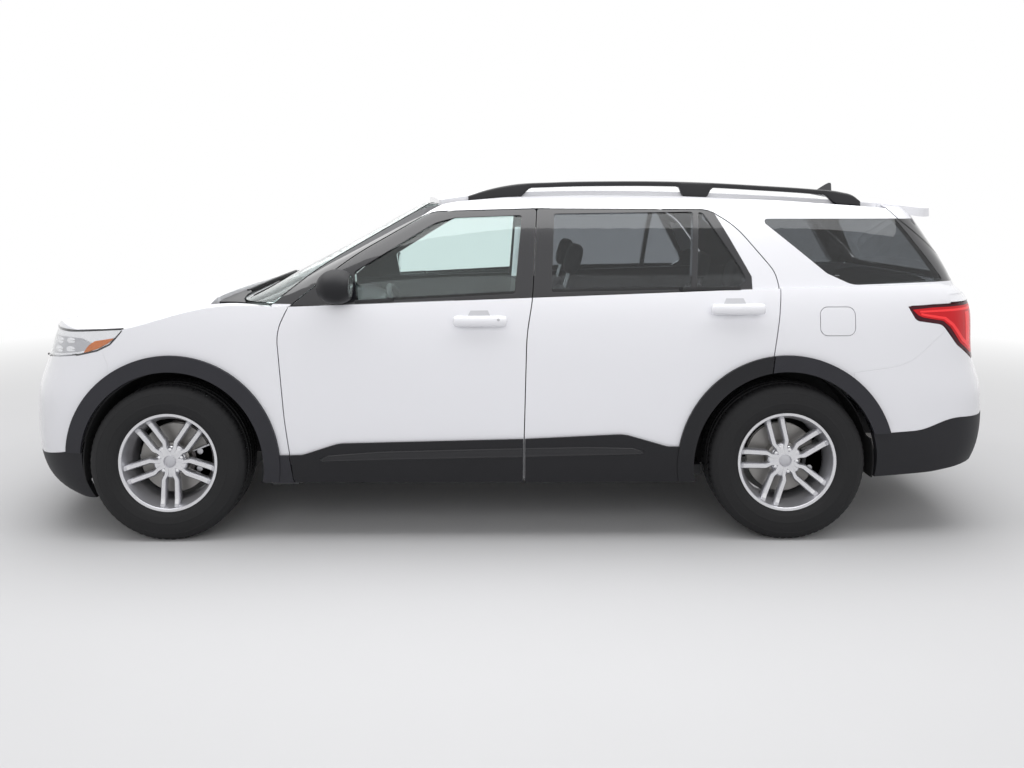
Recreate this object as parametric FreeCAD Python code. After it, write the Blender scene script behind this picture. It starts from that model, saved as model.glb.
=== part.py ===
"""A three-row family SUV, built as an assembly of separate pieces.

The frame is in millimetres: nose towards -X, car's left side towards -Y, +Z up.
The origin is at mid length, on the centre plane, on the floor under the tyres.
"""
import FreeCAD
import Part
import math
import os

# Overall sizes
OVERALL_LENGTH = 5050.0
BODY_WIDTH = 1970.0
OVERALL_HEIGHT = 1775.0
WHEELBASE = 3025.0
FRONT_OVERHANG = 880.0
TRACK = 1702.0
HALF_LENGTH = OVERALL_LENGTH / 2
HALF_WIDTH = BODY_WIDTH / 2
FRONT_AXLE_X = FRONT_OVERHANG - HALF_LENGTH
REAR_AXLE_X = FRONT_AXLE_X + WHEELBASE
WHEEL_Y = TRACK / 2

# Tyres and rims
TYRE_RADIUS = 385.0
TYRE_WIDTH = 255.0
TREAD_WIDTH = 214.0
BEAD_RADIUS = 229.0
RIM_RADIUS = 242.0
RIM_WIDTH = 214.0
RIM_WALL = 9.0
BARREL_RADIUS = 212.0
SPOKE_COUNT = 5
SPOKE_WIDTH = 27.0
SPOKE_SPREAD_DEG = 13.0
HUB_RADIUS = 66.0
MOUNT_FACE_OFFSET = 44.0
DISC_RADIUS = 172.0
DISC_WALL = 26.0
HAT_RADIUS = 84.0
SEAT_GAP = 0.3

# Panels and gaps
SHUT_GAP = 5.0
SHUT_STEP = 16.0
LOWER_LIP = 30.0
FRAME_LIP = 12.0
DOOR_DEPTH = 130.0
FRAME_DEPTH = 52.0
SKIN_DEPTH = 40.0
GLASS_WALL = 5.0
GLASS_INSET = 4.0
TRIM_PROUD = 14.0
FLARE_PROUD = 19.0
OVERRUN = 400.0
FAR = 3000.0

# Wheel arches, with their centres measured from the axles
FLARE_RADIUS = 531.0
ARCH_RADIUS = 452.0
FRONT_ARCH_SHIFT = 20.0
REAR_ARCH_SHIFT = -10.0
LINER_RADIUS = 445.5
LINER_WALL = 6.0
ARCH_Z = 383.0

_store = {}


def vec(x, y, z):
    return FreeCAD.Vector(x, y, z)


def rounded_wire(points, place):
    """Closed wire through corner points (u, v, radius), each corner a tangent arc."""
    count = len(points)
    stretches = []
    for i in range(count):
        u, v, radius = points[i]
        before = points[i - 1]
        after = points[(i + 1) % count]
        a = math.hypot(before[0] - u, before[1] - v)
        b = math.hypot(after[0] - u, after[1] - v)
        ua = ((before[0] - u) / a, (before[1] - v) / a)
        ub = ((after[0] - u) / b, (after[1] - v) / b)
        cosine = max(-1.0, min(1.0, ua[0] * ub[0] + ua[1] * ub[1]))
        half = math.acos(cosine) / 2
        if radius <= 0 or half > math.radians(89.5):
            stretches.append(((u, v), None, (u, v)))
            continue
        back = min(radius / math.tan(half), 0.48 * a, 0.48 * b)
        true_radius = back * math.tan(half)
        start = (u + ua[0] * back, v + ua[1] * back)
        end = (u + ub[0] * back, v + ub[1] * back)
        bisector = (ua[0] + ub[0], ua[1] + ub[1])
        size = math.hypot(*bisector)
        reach = true_radius / math.sin(half) - true_radius
        middle = (u + bisector[0] / size * reach, v + bisector[1] / size * reach)
        stretches.append((start, middle, end))
    edges = []
    for i in range(count):
        start, middle, end = stretches[i]
        if middle:
            edges.append(Part.Arc(place(*start), place(*middle), place(*end)).toShape())
        following = stretches[(i + 1) % count][0]
        if math.hypot(following[0] - end[0], following[1] - end[1]) > 1e-6:
            edges.append(Part.LineSegment(place(*end), place(*following)).toShape())
    return Part.Wire(edges)


def side_prism(points, y_low, y_high, grow=0.0):
    """Solid of a side-view outline (x, z, radius) between two values of y."""
    face = Part.Face(rounded_wire(points, lambda u, v: vec(u, y_low, v)))
    if grow:
        face = face.makeOffset2D(grow)
    return face.extrude(vec(0, y_high - y_low, 0))


def plan_prism(points, z_low, z_high, grow=0.0):
    """Solid of a plan-view outline (x, y, radius) between two heights."""
    face = Part.Face(rounded_wire(points, lambda u, v: vec(u, v, z_low)))
    if grow:
        face = face.makeOffset2D(grow)
    return face.extrude(vec(0, 0, z_high - z_low))


def front_prism(points, x_low, x_high, grow=0.0):
    """Solid of a front-view outline (y, z, radius) between two values of x."""
    face = Part.Face(rounded_wire(points, lambda u, v: vec(x_low, u, v)))
    if grow:
        face = face.makeOffset2D(grow)
    return face.extrude(vec(x_high - x_low, 0, 0))


def box(x0, x1, y0, y1, z0, z1):
    return Part.makeBox(x1 - x0, y1 - y0, z1 - z0, vec(x0, y0, z0))


def cylinder_y(radius, x, z, y_low, y_high):
    return Part.makeCylinder(radius, y_high - y_low, vec(x, y_low, z), vec(0, 1, 0))


def mirrored(shape):
    return shape.mirror(vec(0, 0, 0), vec(0, 1, 0))


def solids_of(shape, least=1000.0):
    """The shape's solids, without crumbs smaller than a cubic centimetre."""
    return [s for s in shape.Solids if s.Volume > least]


def largest(shape):
    return max(shape.Solids, key=lambda s: s.Volume)


# Outer form of the lower body: height, half width, nose x, tail x
LOWER_LEVELS = (
    (100.0, 900.0, -2200.0, 2300.0),
    (190.0, 925.0, -2375.0, 2380.0),
    (270.0, 944.0, -2470.0, 2430.0),
    (380.0, 966.0, -2512.0, 2490.0),
    (500.0, 979.0, -2525.0, 2520.0),
    (620.0, 984.0, -2525.0, 2525.0),
    (730.0, 985.0, -2514.0, 2520.0),
    (850.0, 985.0, -2470.0, 2480.0),
    (960.0, 984.0, -2436.0, 2466.0),
    (1070.0, 978.0, -2392.0, 2466.0),
    (1150.0, 966.0, -2345.0, 2455.0),
    (1230.0, 940.0, -2290.0, 2400.0),
    (1320.0, 905.0, -2220.0, 2330.0),
)
# Plan of the lower body: (share of nose or tail distance, share of half width)
NOSE_PLAN_SHARES = (
    (1.0, 0.0), (0.9963, 0.254), (0.9784, 0.508), (0.958, 0.66), (0.939, 0.762),
    (0.913, 0.85), (0.88, 0.912), (0.835, 0.95), (0.76, 0.972), (0.65, 0.986), (0.45, 0.996), (0.2, 1.0),
)
TAIL_PLAN_SHARES = (
    (1.0, 0.0), (0.9991, 0.254), (0.9903, 0.508), (0.9763, 0.66), (0.9616, 0.762),
    (0.94, 0.853), (0.905, 0.92), (0.86, 0.952), (0.78, 0.975), (0.65, 0.988), (0.45, 0.997), (0.2, 1.0),
)


def surface_face(rows):
    """Smooth face through rows of points."""
    surface = Part.BSplineSurface()
    surface.interpolate([[vec(*p) for p in row] for row in rows])
    return surface.toShape()


def ring_rows(plan, levels, inset, seam):
    """Rows of points round the body, each closed on the centre plane at the nose or the tail."""
    rows = []
    for level in levels:
        ring = plan(level, inset)
        if seam == "tail":
            start = [i for i, point in enumerate(ring) if i and abs(point[1]) < SEAT_GAP][0]
            ring = ring[start:] + ring[:start]
        rows.append(ring + ring[:1])
    return rows


def form_face(form, inset, seam="tail"):
    """The body's outer face all round, drawn in by a distance."""
    key = ("face", form, inset, seam)
    if key not in _store:
        plan, levels = FORMS[form]
        _store[key] = surface_face(ring_rows(plan, levels, inset, seam))
    return _store[key]


def form_wall(form, outer, inner, seam="tail"):
    """Solid wall between two offsets of the body's outer face."""
    key = ("wall", form, outer, inner, seam)
    if key not in _store:
        far = form_face(form, outer, seam)
        near = form_face(form, inner, seam)
        faces = [far, near]
        a = far.Surface
        b = near.Surface
        for iso, low, high in (("uIso", 0, 1), ("vIso", 2, 3)):
            for end in (low, high):
                first = getattr(a, iso)(a.bounds()[end]).toShape()
                second = getattr(b, iso)(b.bounds()[end]).toShape()
                faces.append(Part.makeRuledSurface(first, second))
        shell = Part.makeShell(faces)
        shell.sewShape()
        solid = Part.makeSolid(shell)
        if solid.Volume < 0:
            solid.reverse()
        _store[key] = solid
    return _store[key]


def form_solid(form, inset=0.0):
    """Closed solid inside the body's outer face."""
    key = ("solid", form, inset)
    if key not in _store:
        plan, levels = FORMS[form]
        rows = ring_rows(plan, levels, inset, "tail")
        shares = chord_shares(rows[len(rows) // 2])
        wires = [closed_curve(row[:-1], shares) for row in rows]
        _store[key] = Part.makeLoft(wires, True, False)
    return _store[key]


def skin(face, cell, depth):
    """Panel cut from a face by a cell and thickened along a vector."""
    solids = [piece.extrude(depth) for piece in face.common(cell).Faces]
    return Part.makeCompound(solids)


def chord_shares(points):
    """Running chord length round a closed row of points, from 0 to 1."""
    runs = [0.0]
    for first, second in zip(points, points[1:]):
        runs.append(runs[-1] + math.dist(first, second))
    return [run / runs[-1] for run in runs]


def closed_curve(points, shares):
    curve = Part.BSplineCurve()
    curve.interpolate(Points=[vec(*p) for p in points], PeriodicFlag=True, Parameters=shares)
    return Part.Wire([curve.toShape()])


def lower_plan(level, inset):
    """Row of points round the lower body at one level."""
    z, width, nose, tail = level
    width -= inset
    nose += inset
    tail -= inset
    ahead = [(nose * a, width * w, z) for a, w in NOSE_PLAN_SHARES]
    behind = [(tail * a, width * w, z) for a, w in TAIL_PLAN_SHARES]
    right = ahead + behind[::-1]
    left = [(x, -y, z) for x, y, z in right[1:-1]][::-1]
    return right + left


# Outer form of the cabin: height, half width, windshield x, rear glass x
CABIN_LEVELS = (
    (1100.0, 940.0, -1490.0, 2395.0),
    (1200.0, 927.0, -1311.0, 2375.0),
    (1310.0, 898.0, -1102.0, 2330.0),
    (1420.0, 856.0, -895.0, 2275.0),
    (1520.0, 809.0, -714.0, 2222.0),
    (1600.0, 759.0, -574.0, 2180.0),
    (1660.0, 704.0, -455.0, 2140.0),
    (1710.0, 636.0, -345.0, 2100.0),
    (1770.0, 540.0, -190.0, 2050.0),
)
# Plan of the cabin's corners: (share of corner depth, share of half width)
SHIELD_CORNER_DEPTH = 420.0
REAR_CORNER_DEPTH = 380.0
SHIELD_PLAN_SHARES = (
    (0.0, 0.0), (0.02, 0.3), (0.075, 0.55), (0.155, 0.75), (0.27, 0.88), (0.42, 0.945), (0.65, 0.975), (1.0, 0.988),
)
REAR_PLAN_SHARES = (
    (0.0, 0.0), (0.015, 0.3), (0.06, 0.55), (0.14, 0.75), (0.27, 0.86), (0.45, 0.915), (0.7, 0.94), (1.0, 0.955),
)
MID_PLAN_SHARES = ((0.12, 1.0), (0.27, 0.998), (0.45, 0.985))
SHIELD_SLOPE_DEG = 28.5


def cabin_plan(level, inset):
    z, width, shield, rear = level
    width -= inset
    shield += inset / math.sin(math.radians(SHIELD_SLOPE_DEG))
    rear -= inset
    ahead = [(shield + d * SHIELD_CORNER_DEPTH, width * w, z) for d, w in SHIELD_PLAN_SHARES]
    middle = [(m * HALF_LENGTH, width * w, z) for m, w in MID_PLAN_SHARES]
    behind = [(rear - d * REAR_CORNER_DEPTH, width * w, z) for d, w in REAR_PLAN_SHARES]
    right = ahead + middle + behind[::-1]
    left = [(x, -y, z) for x, y, z in right[1:-1]][::-1]
    return right + left


FORMS = {"lower": (lower_plan, LOWER_LEVELS), "cabin": (cabin_plan, CABIN_LEVELS)}

# Top faces: hood and belt as one deck, and the roof
DECK_LINE = (
    (-2750.0, 860.0), (-2600.0, 930.0), (-2480.0, 1000.0), (-2383.0, 1047.0), (-2290.0, 1076.0), (-2180.0, 1104.0),
    (-2040.0, 1131.0), (-1880.0, 1153.0), (-1650.0, 1180.0), (-1430.0, 1194.0), (-1280.0, 1180.0),
    (-1138.0, 1150.0), (-900.0, 1154.5), (-400.0, 1172.5), (300.0, 1198.0), (1135.0, 1228.0), (1700.0, 1244.0),
    (2263.0, 1254.0), (2750.0, 1258.0),
)
DECK_CROWN = 150.0
DECK_CROWN_SHARES = ((0.0, 0.0), (0.3, 0.02), (0.55, 0.07), (0.72, 0.15), (0.83, 0.29), (0.91, 0.55), (1.0, 1.0), (1.12, 1.6))
DECK_CROWN_END = -1900.0
DECK_FLAT_START = -1138.0
ROOF_LINE = (
    (-1700.0, 1480.0), (-1000.0, 1590.0), (-620.0, 1652.0), (-430.0, 1686.0), (-250.0, 1720.0), (0.0, 1743.0), (400.0, 1754.0),
    (900.0, 1748.0), (1400.0, 1727.0), (1900.0, 1692.0), (2200.0, 1662.0), (2500.0, 1628.0),
)
ROOF_CROWN = 46.0
ROOF_CROWN_SHARES = ((0.0, 0.0), (0.4, 0.1), (0.7, 0.42), (0.9, 0.8), (1.1, 1.4), (1.35, 2.4), (1.6, 3.5))
ROOF_HALF_WIDTH = 700.0


def spread(shares):
    """Shares across the car, from the far side through the centre to the near side."""
    return [(-s, d) for s, d in shares[:0:-1]] + list(shares)


def deck_face(inset=0.0):
    """Hood and cowl face, lowered by a distance."""
    key = ("deck face", inset)
    if key not in _store:
        rows = []
        for x, z in DECK_LINE:
            fade = (DECK_FLAT_START - x) / (DECK_FLAT_START - DECK_CROWN_END)
            fade = min(1.0, max(0.0, fade))
            row = [(x, s * HALF_WIDTH, z - inset - fade * d * DECK_CROWN) for s, d in spread(DECK_CROWN_SHARES)]
            rows.append(row)
        _store[key] = surface_face(rows)
    return _store[key]


def deck(inset=0.0):
    """Solid below the hood and belt faces, lowered by a wall."""
    return deck_face(inset).extrude(vec(0, 0, -FAR))


def roof_face(inset=0.0):
    """Roof face, lowered by a distance."""
    key = ("roof face", inset)
    if key not in _store:
        rows = []
        for x, z in ROOF_LINE:
            rows.append([(x, s * ROOF_HALF_WIDTH, z - inset - d * ROOF_CROWN) for s, d in spread(ROOF_CROWN_SHARES)])
        _store[key] = surface_face(rows)
    return _store[key]


def roof_block(inset=0.0):
    """Solid below the roof face, lowered by a wall."""
    return roof_face(inset).extrude(vec(0, 0, -FAR))


def belt_z(x):
    """Height of the belt line at x."""
    for (x0, z0), (x1, z1) in zip(DECK_LINE, DECK_LINE[1:]):
        if x0 <= x <= x1:
            return z0 + (z1 - z0) * (x - x0) / (x1 - x0)
    return DECK_LINE[-1][1]


# Side-view outlines: (x, z, corner radius)
FRONT_DOOR = (
    (-1027.0, 289.0, 20.0), (-1068.0, 602.0, 900.0), (-1105.0, 1030.0, 260.0), (-1049.0, 1149.0, 30.0),
    (-762.0, 1385.0, 1500.0), (-374.0, 1607.0, 200.0), (157.0, 1622.0, 12.0), (133.0, 1197.0, 900.0),
    (103.0, 1015.0, 900.0), (90.0, 506.0, 900.0), (90.0, 289.0, 12.0),
)
REAR_DOOR = (
    (95.0, 289.0, 12.0), (95.0, 506.0, 900.0), (108.0, 1015.0, 900.0), (138.0, 1197.0, 900.0), (162.0, 1622.0, 12.0),
    (1030.0, 1617.0, 130.0), (1154.0, 1538.0, 500.0), (1331.0, 1313.0, 220.0), (1346.0, 1237.0, 100.0),
    (1331.0, 1096.0, 900.0), (1303.0, 907.0, 900.0), (1285.0, 760.0, 12.0), (1285.0, 289.0, 12.0),
)
FRONT_WINDOW = (
    (-722.0, 1168.0, 14.0), (-741.0, 1312.0, 20.0), (-353.0, 1551.0, 200.0), (-250.0, 1577.0, 60.0),
    (84.0, 1589.0, 12.0), (47.0, 1209.0, 12.0),
)
REAR_WINDOW = ((227.0, 1217.0, 12.0), (248.0, 1596.0, 12.0), (950.0, 1606.0, 12.0), (912.0, 1229.0, 12.0))
REAR_PANE = ((940.0, 1230.0, 12.0), (978.0, 1604.0, 12.0), (1000.0, 1600.0, 20.0), (1164.0, 1328.0, 60.0), (1190.0, 1269.0, 24.0), (1130.0, 1232.0, 30.0))
D_WINDOW = (
    (1283.0, 1574.0, 16.0), (1990.0, 1574.0, 14.0), (2105.0, 1400.0, 0.0), (2195.0, 1262.0, 14.0), (1714.0, 1248.0, 130.0),
    (1591.0, 1305.0, 60.0),
)
SHIELD_CELL = (
    (-1700.0, 1130.0, 0.0), (-1175.0, 1130.0, 0.0), (-914.0, 1343.0, 1500.0), (-688.0, 1478.0, 1500.0),
    (-462.0, 1611.0, 0.0), (-385.0, 1662.0, 0.0), (-1700.0, 1662.0, 0.0),
)
GATE_CELL = (
    (1930.0, 1900.0, 0.0), (1930.0, 1665.0, 60.0), (2012.0, 1572.0, 60.0), (2225.0, 1385.0, 200.0), (2292.0, 1304.0, 0.0),
    (2266.0, 1264.0, 0.0), (2266.0, 1200.0, 0.0), (2900.0, 1200.0, 0.0), (2900.0, 1900.0, 0.0),
)
HEADLAMP = (
    (-2700.0, 1042.0, 0.0), (-2267.0, 1026.0, 300.0), (-2155.0, 1024.0, 300.0), (-1851.0, 1043.0, 8.0), (-1921.0, 962.0, 120.0),
    (-1985.0, 932.0, 200.0), (-2082.0, 910.0, 300.0), (-2320.0, 878.0, 200.0), (-2700.0, 862.0, 0.0),
)
TAIL_LAMP = (
    (1969.0, 1149.0, 14.0), (2010.0, 1077.0, 40.0), (2145.0, 1057.0, 60.0), (2226.0, 955.0, 80.0), (2340.0, 874.0, 14.0),
    (2700.0, 874.0, 0.0), (2700.0, 1165.0, 0.0), (2340.0, 1163.0, 100.0),
)
FUEL_DOOR = ((1534.0, 1009.0, 36.0), (1534.0, 1145.0, 36.0), (1703.0, 1145.0, 36.0), (1703.0, 1009.0, 36.0))
FENDER_CELL = (
    (-2330.0, 1300.0, 0.0), (-2330.0, 1031.0, 0.0), (-1962.0, 1031.0, 0.0), (-1962.0, 934.0, 0.0), (-1934.0, 868.0, 0.0), (-1934.0, 425.0, 0.0), (-1000.0, 425.0, 0.0), (-1058.0, 1149.0, 0.0), (-1058.0, 1300.0, 0.0),
)
NOSE_CELL = (
    (-2700.0, 378.0, 0.0), (-2400.0, 384.0, 100.0), (-2165.0, 428.0, 0.0), (-1934.6, 428.0, 0.0), (-1934.6, 868.0, 0.0), (-1962.6, 934.0, 0.0),
    (-1962.6, 1027.0, 0.0), (-2700.0, 1027.0, 0.0),
)
FRONT_VALANCE = (
    (-2700.0, 377.6, 0.0), (-2400.0, 383.6, 100.0), (-2165.0, 427.6, 0.0), (-1800.0, 427.6, 0.0), (-1950.0, 196.0, 0.0), (-2180.0, 172.0, 60.0), (-2700.0, 150.0, 0.0),
)
TAIL_CELL = (
    (1700.0, 828.0, 0.0), (1917.0, 855.0, 300.0), (2000.0, 890.0, 200.0), (2200.0, 1060.0, 0.0), (2200.0, 1200.0, 0.0),
    (2900.0, 1200.0, 0.0), (2900.0, 598.0, 0.0), (2400.0, 594.0, 0.0), (2200.0, 600.0, 300.0), (2040.0, 540.0, 300.0), (1838.0, 528.0, 0.0), (1700.0, 528.0, 0.0),
)
REAR_VALANCE = (
    (1700.0, 527.6, 0.0), (1838.0, 527.6, 0.0), (2040.0, 539.6, 300.0), (2200.0, 599.6, 300.0), (2400.0, 593.6, 0.0), (2900.0, 597.6, 0.0),
    (2900.0, 395.0, 0.0), (2330.0, 360.0, 100.0), (2100.0, 325.0, 200.0), (1700.0, 300.0, 0.0),
)
CLADDING = (
    (-1180.0, 289.0, 0.0), (1500.0, 289.0, 0.0), (1500.0, 462.0, 0.0), (790.0, 469.0, 60.0), (579.0, 531.0, 200.0),
    (92.0, 508.0, 0.0), (-809.0, 486.0, 200.0), (-985.0, 428.0, 80.0), (-1180.0, 424.0, 0.0),
)


def front_arch(radius, y_low=-FAR, y_high=0.0):
    return cylinder_y(radius, FRONT_AXLE_X + FRONT_ARCH_SHIFT, ARCH_Z, y_low, y_high)


def rear_arch(radius, y_low=-FAR, y_high=0.0):
    return cylinder_y(radius, REAR_AXLE_X + REAR_ARCH_SHIFT, ARCH_Z, y_low, y_high)


def side_cell(points, grow=0.0):
    return side_prism(points, -FAR, 0.0, grow)


def flank(form, inset, cell, depth, seam="tail"):
    """Thin panel on the left flank, inward from an offset of the outer face."""
    return skin(form_face(form, inset, seam), cell, vec(0, depth, 0))


# Doors

def belt_line(low, high, z_add=0.0):
    """Corner points of the belt line between two values of x."""
    inner = [(x, z + z_add, 0.0) for x, z in DECK_LINE if low < x < high]
    return [(low, belt_z(low) + z_add, 0.0)] + inner + [(high, belt_z(high) + z_add, 0.0)]


def above_belt(low, high, z_add=0.0, y_low=-FAR, y_high=0.0):
    return side_prism([(low, 2 * OVERALL_HEIGHT, 0.0)] + belt_line(low, high, z_add) + [(high, 2 * OVERALL_HEIGHT, 0.0)], y_low, y_high)


def below_belt(low, high, z_add=0.0, y_low=-FAR, y_high=0.0):
    return side_prism([(low, 0.0, 0.0)] + belt_line(low, high, z_add) + [(high, 0.0, 0.0)], y_low, y_high)


def door_frame_cover(outline, windows, limit):
    """Thin black cover over the window frame, its outline stopped short of the door's edge."""
    ring = side_cell(outline, -2.0).common(limit)
    for window in windows:
        ring = ring.cut(side_cell(window, 3.0))
    ring = ring.common(above_belt(-1130.0, 1500.0, 0.6))
    return largest(flank("cabin", -3.0, ring, 2.7))


def handle(x_low, x_high, z):
    """Pull bar on two feet, proud of the door."""
    mid = (x_low + x_high) / 2
    reach = (x_high - x_low) / 2
    bar = Part.makeBox(2 * reach, 20.0, 34.0, vec(mid - reach, -1024.0, z - 17.0))
    bar = bar.makeFillet(9.0, bar.Edges)
    foot = box(0, 36.0, -1010.0, -950.0, z - 13.0, z + 13.0)
    front = foot.translated(vec(x_low + 12.0, 0, 0))
    rear = foot.translated(vec(x_high - 48.0, 0, 0))
    return bar.fuse([front, rear])


def shut_strip(edge):
    """Side-view strip along a door's rear edge, where the inner layers are set forward."""
    front = [(x - SHUT_STEP, z, r) for x, z, r in edge]
    front = [(front[0][0], 2 * OVERALL_HEIGHT, 0.0)] + front + [(front[-1][0], 0.0, 0.0)]
    rear = [(max(x for x, _, _ in edge) + OVERRUN, z, 0.0) for z in (0.0, 2 * OVERALL_HEIGHT)]
    return side_cell(front + rear)


def door_shell(outline, windows, edge, arch=None):
    """Door with a thick lower shell and a window frame, both stepped at the rear edge so that the door swings free."""
    cell = side_cell(outline)
    strip = shut_strip(edge)
    lower_cell = cell.common(below_belt(-1130.0, 1500.0))
    if arch:
        lower_cell = lower_cell.cut(arch)
    lower = form_wall("lower", 0.0, DOOR_DEPTH).common(lower_cell)
    lower = lower.cut(form_wall("lower", LOWER_LIP, DOOR_DEPTH + FRAME_DEPTH).common(strip))
    frame_cell = cell.common(above_belt(-1130.0, 1500.0, -30.0))
    for window in windows:
        frame_cell = frame_cell.cut(side_cell(window))
    frame = form_wall("cabin", 0.0, FRAME_DEPTH).common(frame_cell)
    frame = frame.cut(form_wall("cabin", FRAME_LIP, FRAME_DEPTH + SKIN_DEPTH).common(strip))
    return lower.fuse(frame)


def door_glass(window):
    return largest(flank("cabin", GLASS_INSET, side_cell(window, -SEAT_GAP), GLASS_WALL))


def cladding(x_low, x_high, within=None, without=()):
    """Dark lower cover on the flank between two values of x."""
    cell = side_cell(CLADDING).common(box(x_low, x_high, -FAR, 0, 0, FAR))
    if within:
        cell = cell.common(within)
    for other in without:
        cell = cell.cut(other)
    return largest(flank("lower", -TRIM_PROUD, cell, TRIM_PROUD - SEAT_GAP))


def flare_cell(arch, room):
    """Side-view ring round a wheel arch, kept within a room."""
    return arch(FLARE_RADIUS).cut(arch(ARCH_RADIUS)).common(room)


def flare(cell):
    """Dark lip round a wheel arch, standing proud of the flank."""
    return largest(flank("lower", -FLARE_PROUD, cell, FLARE_PROUD - SEAT_GAP))


def mirror_shape():
    """Mirror housing on a foot that stands on the door's belt."""
    shell = Part.makeSphere(1.0)
    grow = FreeCAD.Matrix()
    grow.scale(96.0, 112.0, 84.0)
    shell = shell.transformGeometry(grow)
    shell.translate(vec(-806.0, -1022.0, 1252.0))
    shell = shell.common(box(-905.0, -738.0, -1134.0, -945.0, 1100.0, 1400.0))
    foot = box(-860.0, -770.0, -1000.0, -900.0, 1176.0, 1225.0)
    return shell.fuse(foot.cut(form_wall("cabin", -SEAT_GAP, FRAME_DEPTH)))


def door_front():
    shell = door_shell(FRONT_DOOR, [FRONT_WINDOW], FRONT_DOOR[6:]).fuse(handle(-242.0, 2.0, 1085.0))
    frame = door_frame_cover(FRONT_DOOR, [FRONT_WINDOW], box(-1200, 300, -FAR, 0, 1100, FAR))
    mirror = mirror_shape()
    trim = [cladding(-1060.0, 88.0, side_cell(FRONT_DOOR, -1.0)), largest(frame.fuse(mirror))]
    return largest(shell), door_glass(FRONT_WINDOW), trim


def door_rear():
    shell = door_shell(REAR_DOOR, [REAR_WINDOW, REAR_PANE], REAR_DOOR[5:], rear_arch(ARCH_RADIUS))
    shell = shell.fuse(handle(1000.0, 1245.0, 1142.0))
    limit = side_cell(((80, 1100, 0), (80, 1700, 0), (1010, 1700, 0), (1215, 1290, 0), (1215, 1100, 0)))
    frame = door_frame_cover(REAR_DOOR, [REAR_WINDOW, REAR_PANE], limit)
    seam = side_cell(REAR_DOOR, -1.0)
    lower = cladding(97.0, 1284.0, None, [rear_arch(FLARE_RADIUS + SEAT_GAP)])
    lip = flare(flare_cell(rear_arch, seam.common(box(600.0, 1500.0, -FAR, 0, 291.0, FAR))))
    glass = [door_glass(REAR_WINDOW), door_glass(REAR_PANE)]
    return largest(shell), glass, [lower, lip, frame]


# Fixed body

def cant_cell():
    """Side and plan room for the pillars and the roof's side rail."""
    cell = above_belt(-1200.0, 2330.0, -70.0, -FAR, -640.6)
    for taken in (side_cell(SHIELD_CELL, 1.7), side_cell(GATE_CELL, SHUT_GAP), side_cell(D_WINDOW), box(2000.0, FAR, -718.5, 0, 0, 1264.0),
                  side_cell(FRONT_DOOR, SHUT_GAP), side_cell(REAR_DOOR, SHUT_GAP), box(130.0, 190.0, -FAR, 0, 0, 1627.0)):
        cell = cell.cut(taken)
    line = [(x, z - ROOF_CROWN - 14.0, 0.0) for x, z in ROOF_LINE]
    return cell.common(side_cell([(ROOF_LINE[0][0], 0.0, 0.0)] + line + [(ROOF_LINE[-1][0], 0.0, 0.0)]))


def body_side():
    """Pillars, sill, cant rail and quarter panel of the left side as one pressing."""
    room = below_belt(1150.0, 2470.0, 0.0, -FAR, -718.5).common(box(1150.0, 2470.0, -FAR, 0, 525.0, FAR))
    for taken in (side_cell(TAIL_CELL, 0.5), side_cell(TAIL_LAMP, 0.5), side_cell(REAR_DOOR, SHUT_GAP), rear_arch(ARCH_RADIUS)):
        room = room.cut(taken)
    quarter = largest(form_wall("lower", 0.0, DOOR_DEPTH).common(room))
    upper = largest(form_wall("cabin", 0.0, FRAME_DEPTH).common(cant_cell()))
    door = side_cell(FRONT_DOOR, SHUT_GAP)
    outboard = box(-FAR, FAR, -FAR, -765.0, 0, FAR)
    post = form_wall("lower", DOOR_DEPTH + 6.0, DOOR_DEPTH + 60.0).common(box(15.0, 185.0, -FAR, -765.0, 300.0, 1185.0))
    sill = form_wall("lower", DOOR_DEPTH + 3.0, DOOR_DEPTH + 95.0).common(box(-1150.0, 905.0, -FAR, -765.0, 262.0, 420.0))
    hinge_cell = side_cell(((-1150.0, 262.0, 0), (-1150.0, 1140.0, 0), (-1020.0, 1165.0, 0), (-1020.0, 262.0, 0))).cut(door)
    hinge_post = form_wall("lower", SKIN_DEPTH + 0.5, DOOR_DEPTH + 90.0).common(hinge_cell.common(outboard))
    lean = [(4.0 + FRAME_DEPTH - width, z, 0.0) for z, width, *_ in CABIN_LEVELS[2:6]]
    inner = [(y + 66.0, z, 0.0) for y, z, _ in lean] + [(-615.0, 1652.0, 0.0)]
    lean = [(-818.0, 1090.0, 0.0), (-818.0, 1204.0, 0.0), (-869.0, 1204.0, 0.0)] + lean + [(-678.0, 1631.0, 0.0), (-697.0, 1632.0, 0.0), (-680.0, 1652.0, 0.0)]
    inner = [(-765.0, 1090.0, 0.0), (-765.0, 1215.0, 0.0)] + inner
    top_post = front_prism(lean + inner[::-1], -100.0, 400.0).common(side_cell(((15, 1080, 0), (60, 1664, 0), (230, 1664, 0), (205, 1080, 0))))
    top_post = top_post.cut(form_wall("cabin", 0.0, FRAME_DEPTH + 3.5).common(box(-100.0, 400.0, -FAR, 0, 1210.0, 1626.0)))
    low_pad = box(30.0, 175.0, -853.6, -830.0, 600.0, 660.0)
    high_pad = box(40.0, 180.0, -852.6, -830.0, 930.0, 990.0)
    leaves = [box(-1140.0, -1020.0, -925.0, -880.0, z, z + 60.0).cut(side_cell(FRONT_DOOR, SEAT_GAP)) for z in (560.0, 900.0)]
    whole = upper
    for piece in [hinge_post, quarter, sill, post, top_post, low_pad, high_pad] + leaves:
        whole = largest(whole.fuse(piece))
    return whole


def fuel_pocket():
    return side_prism(FUEL_DOOR, -FAR, -938.0, 3.0)


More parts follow.
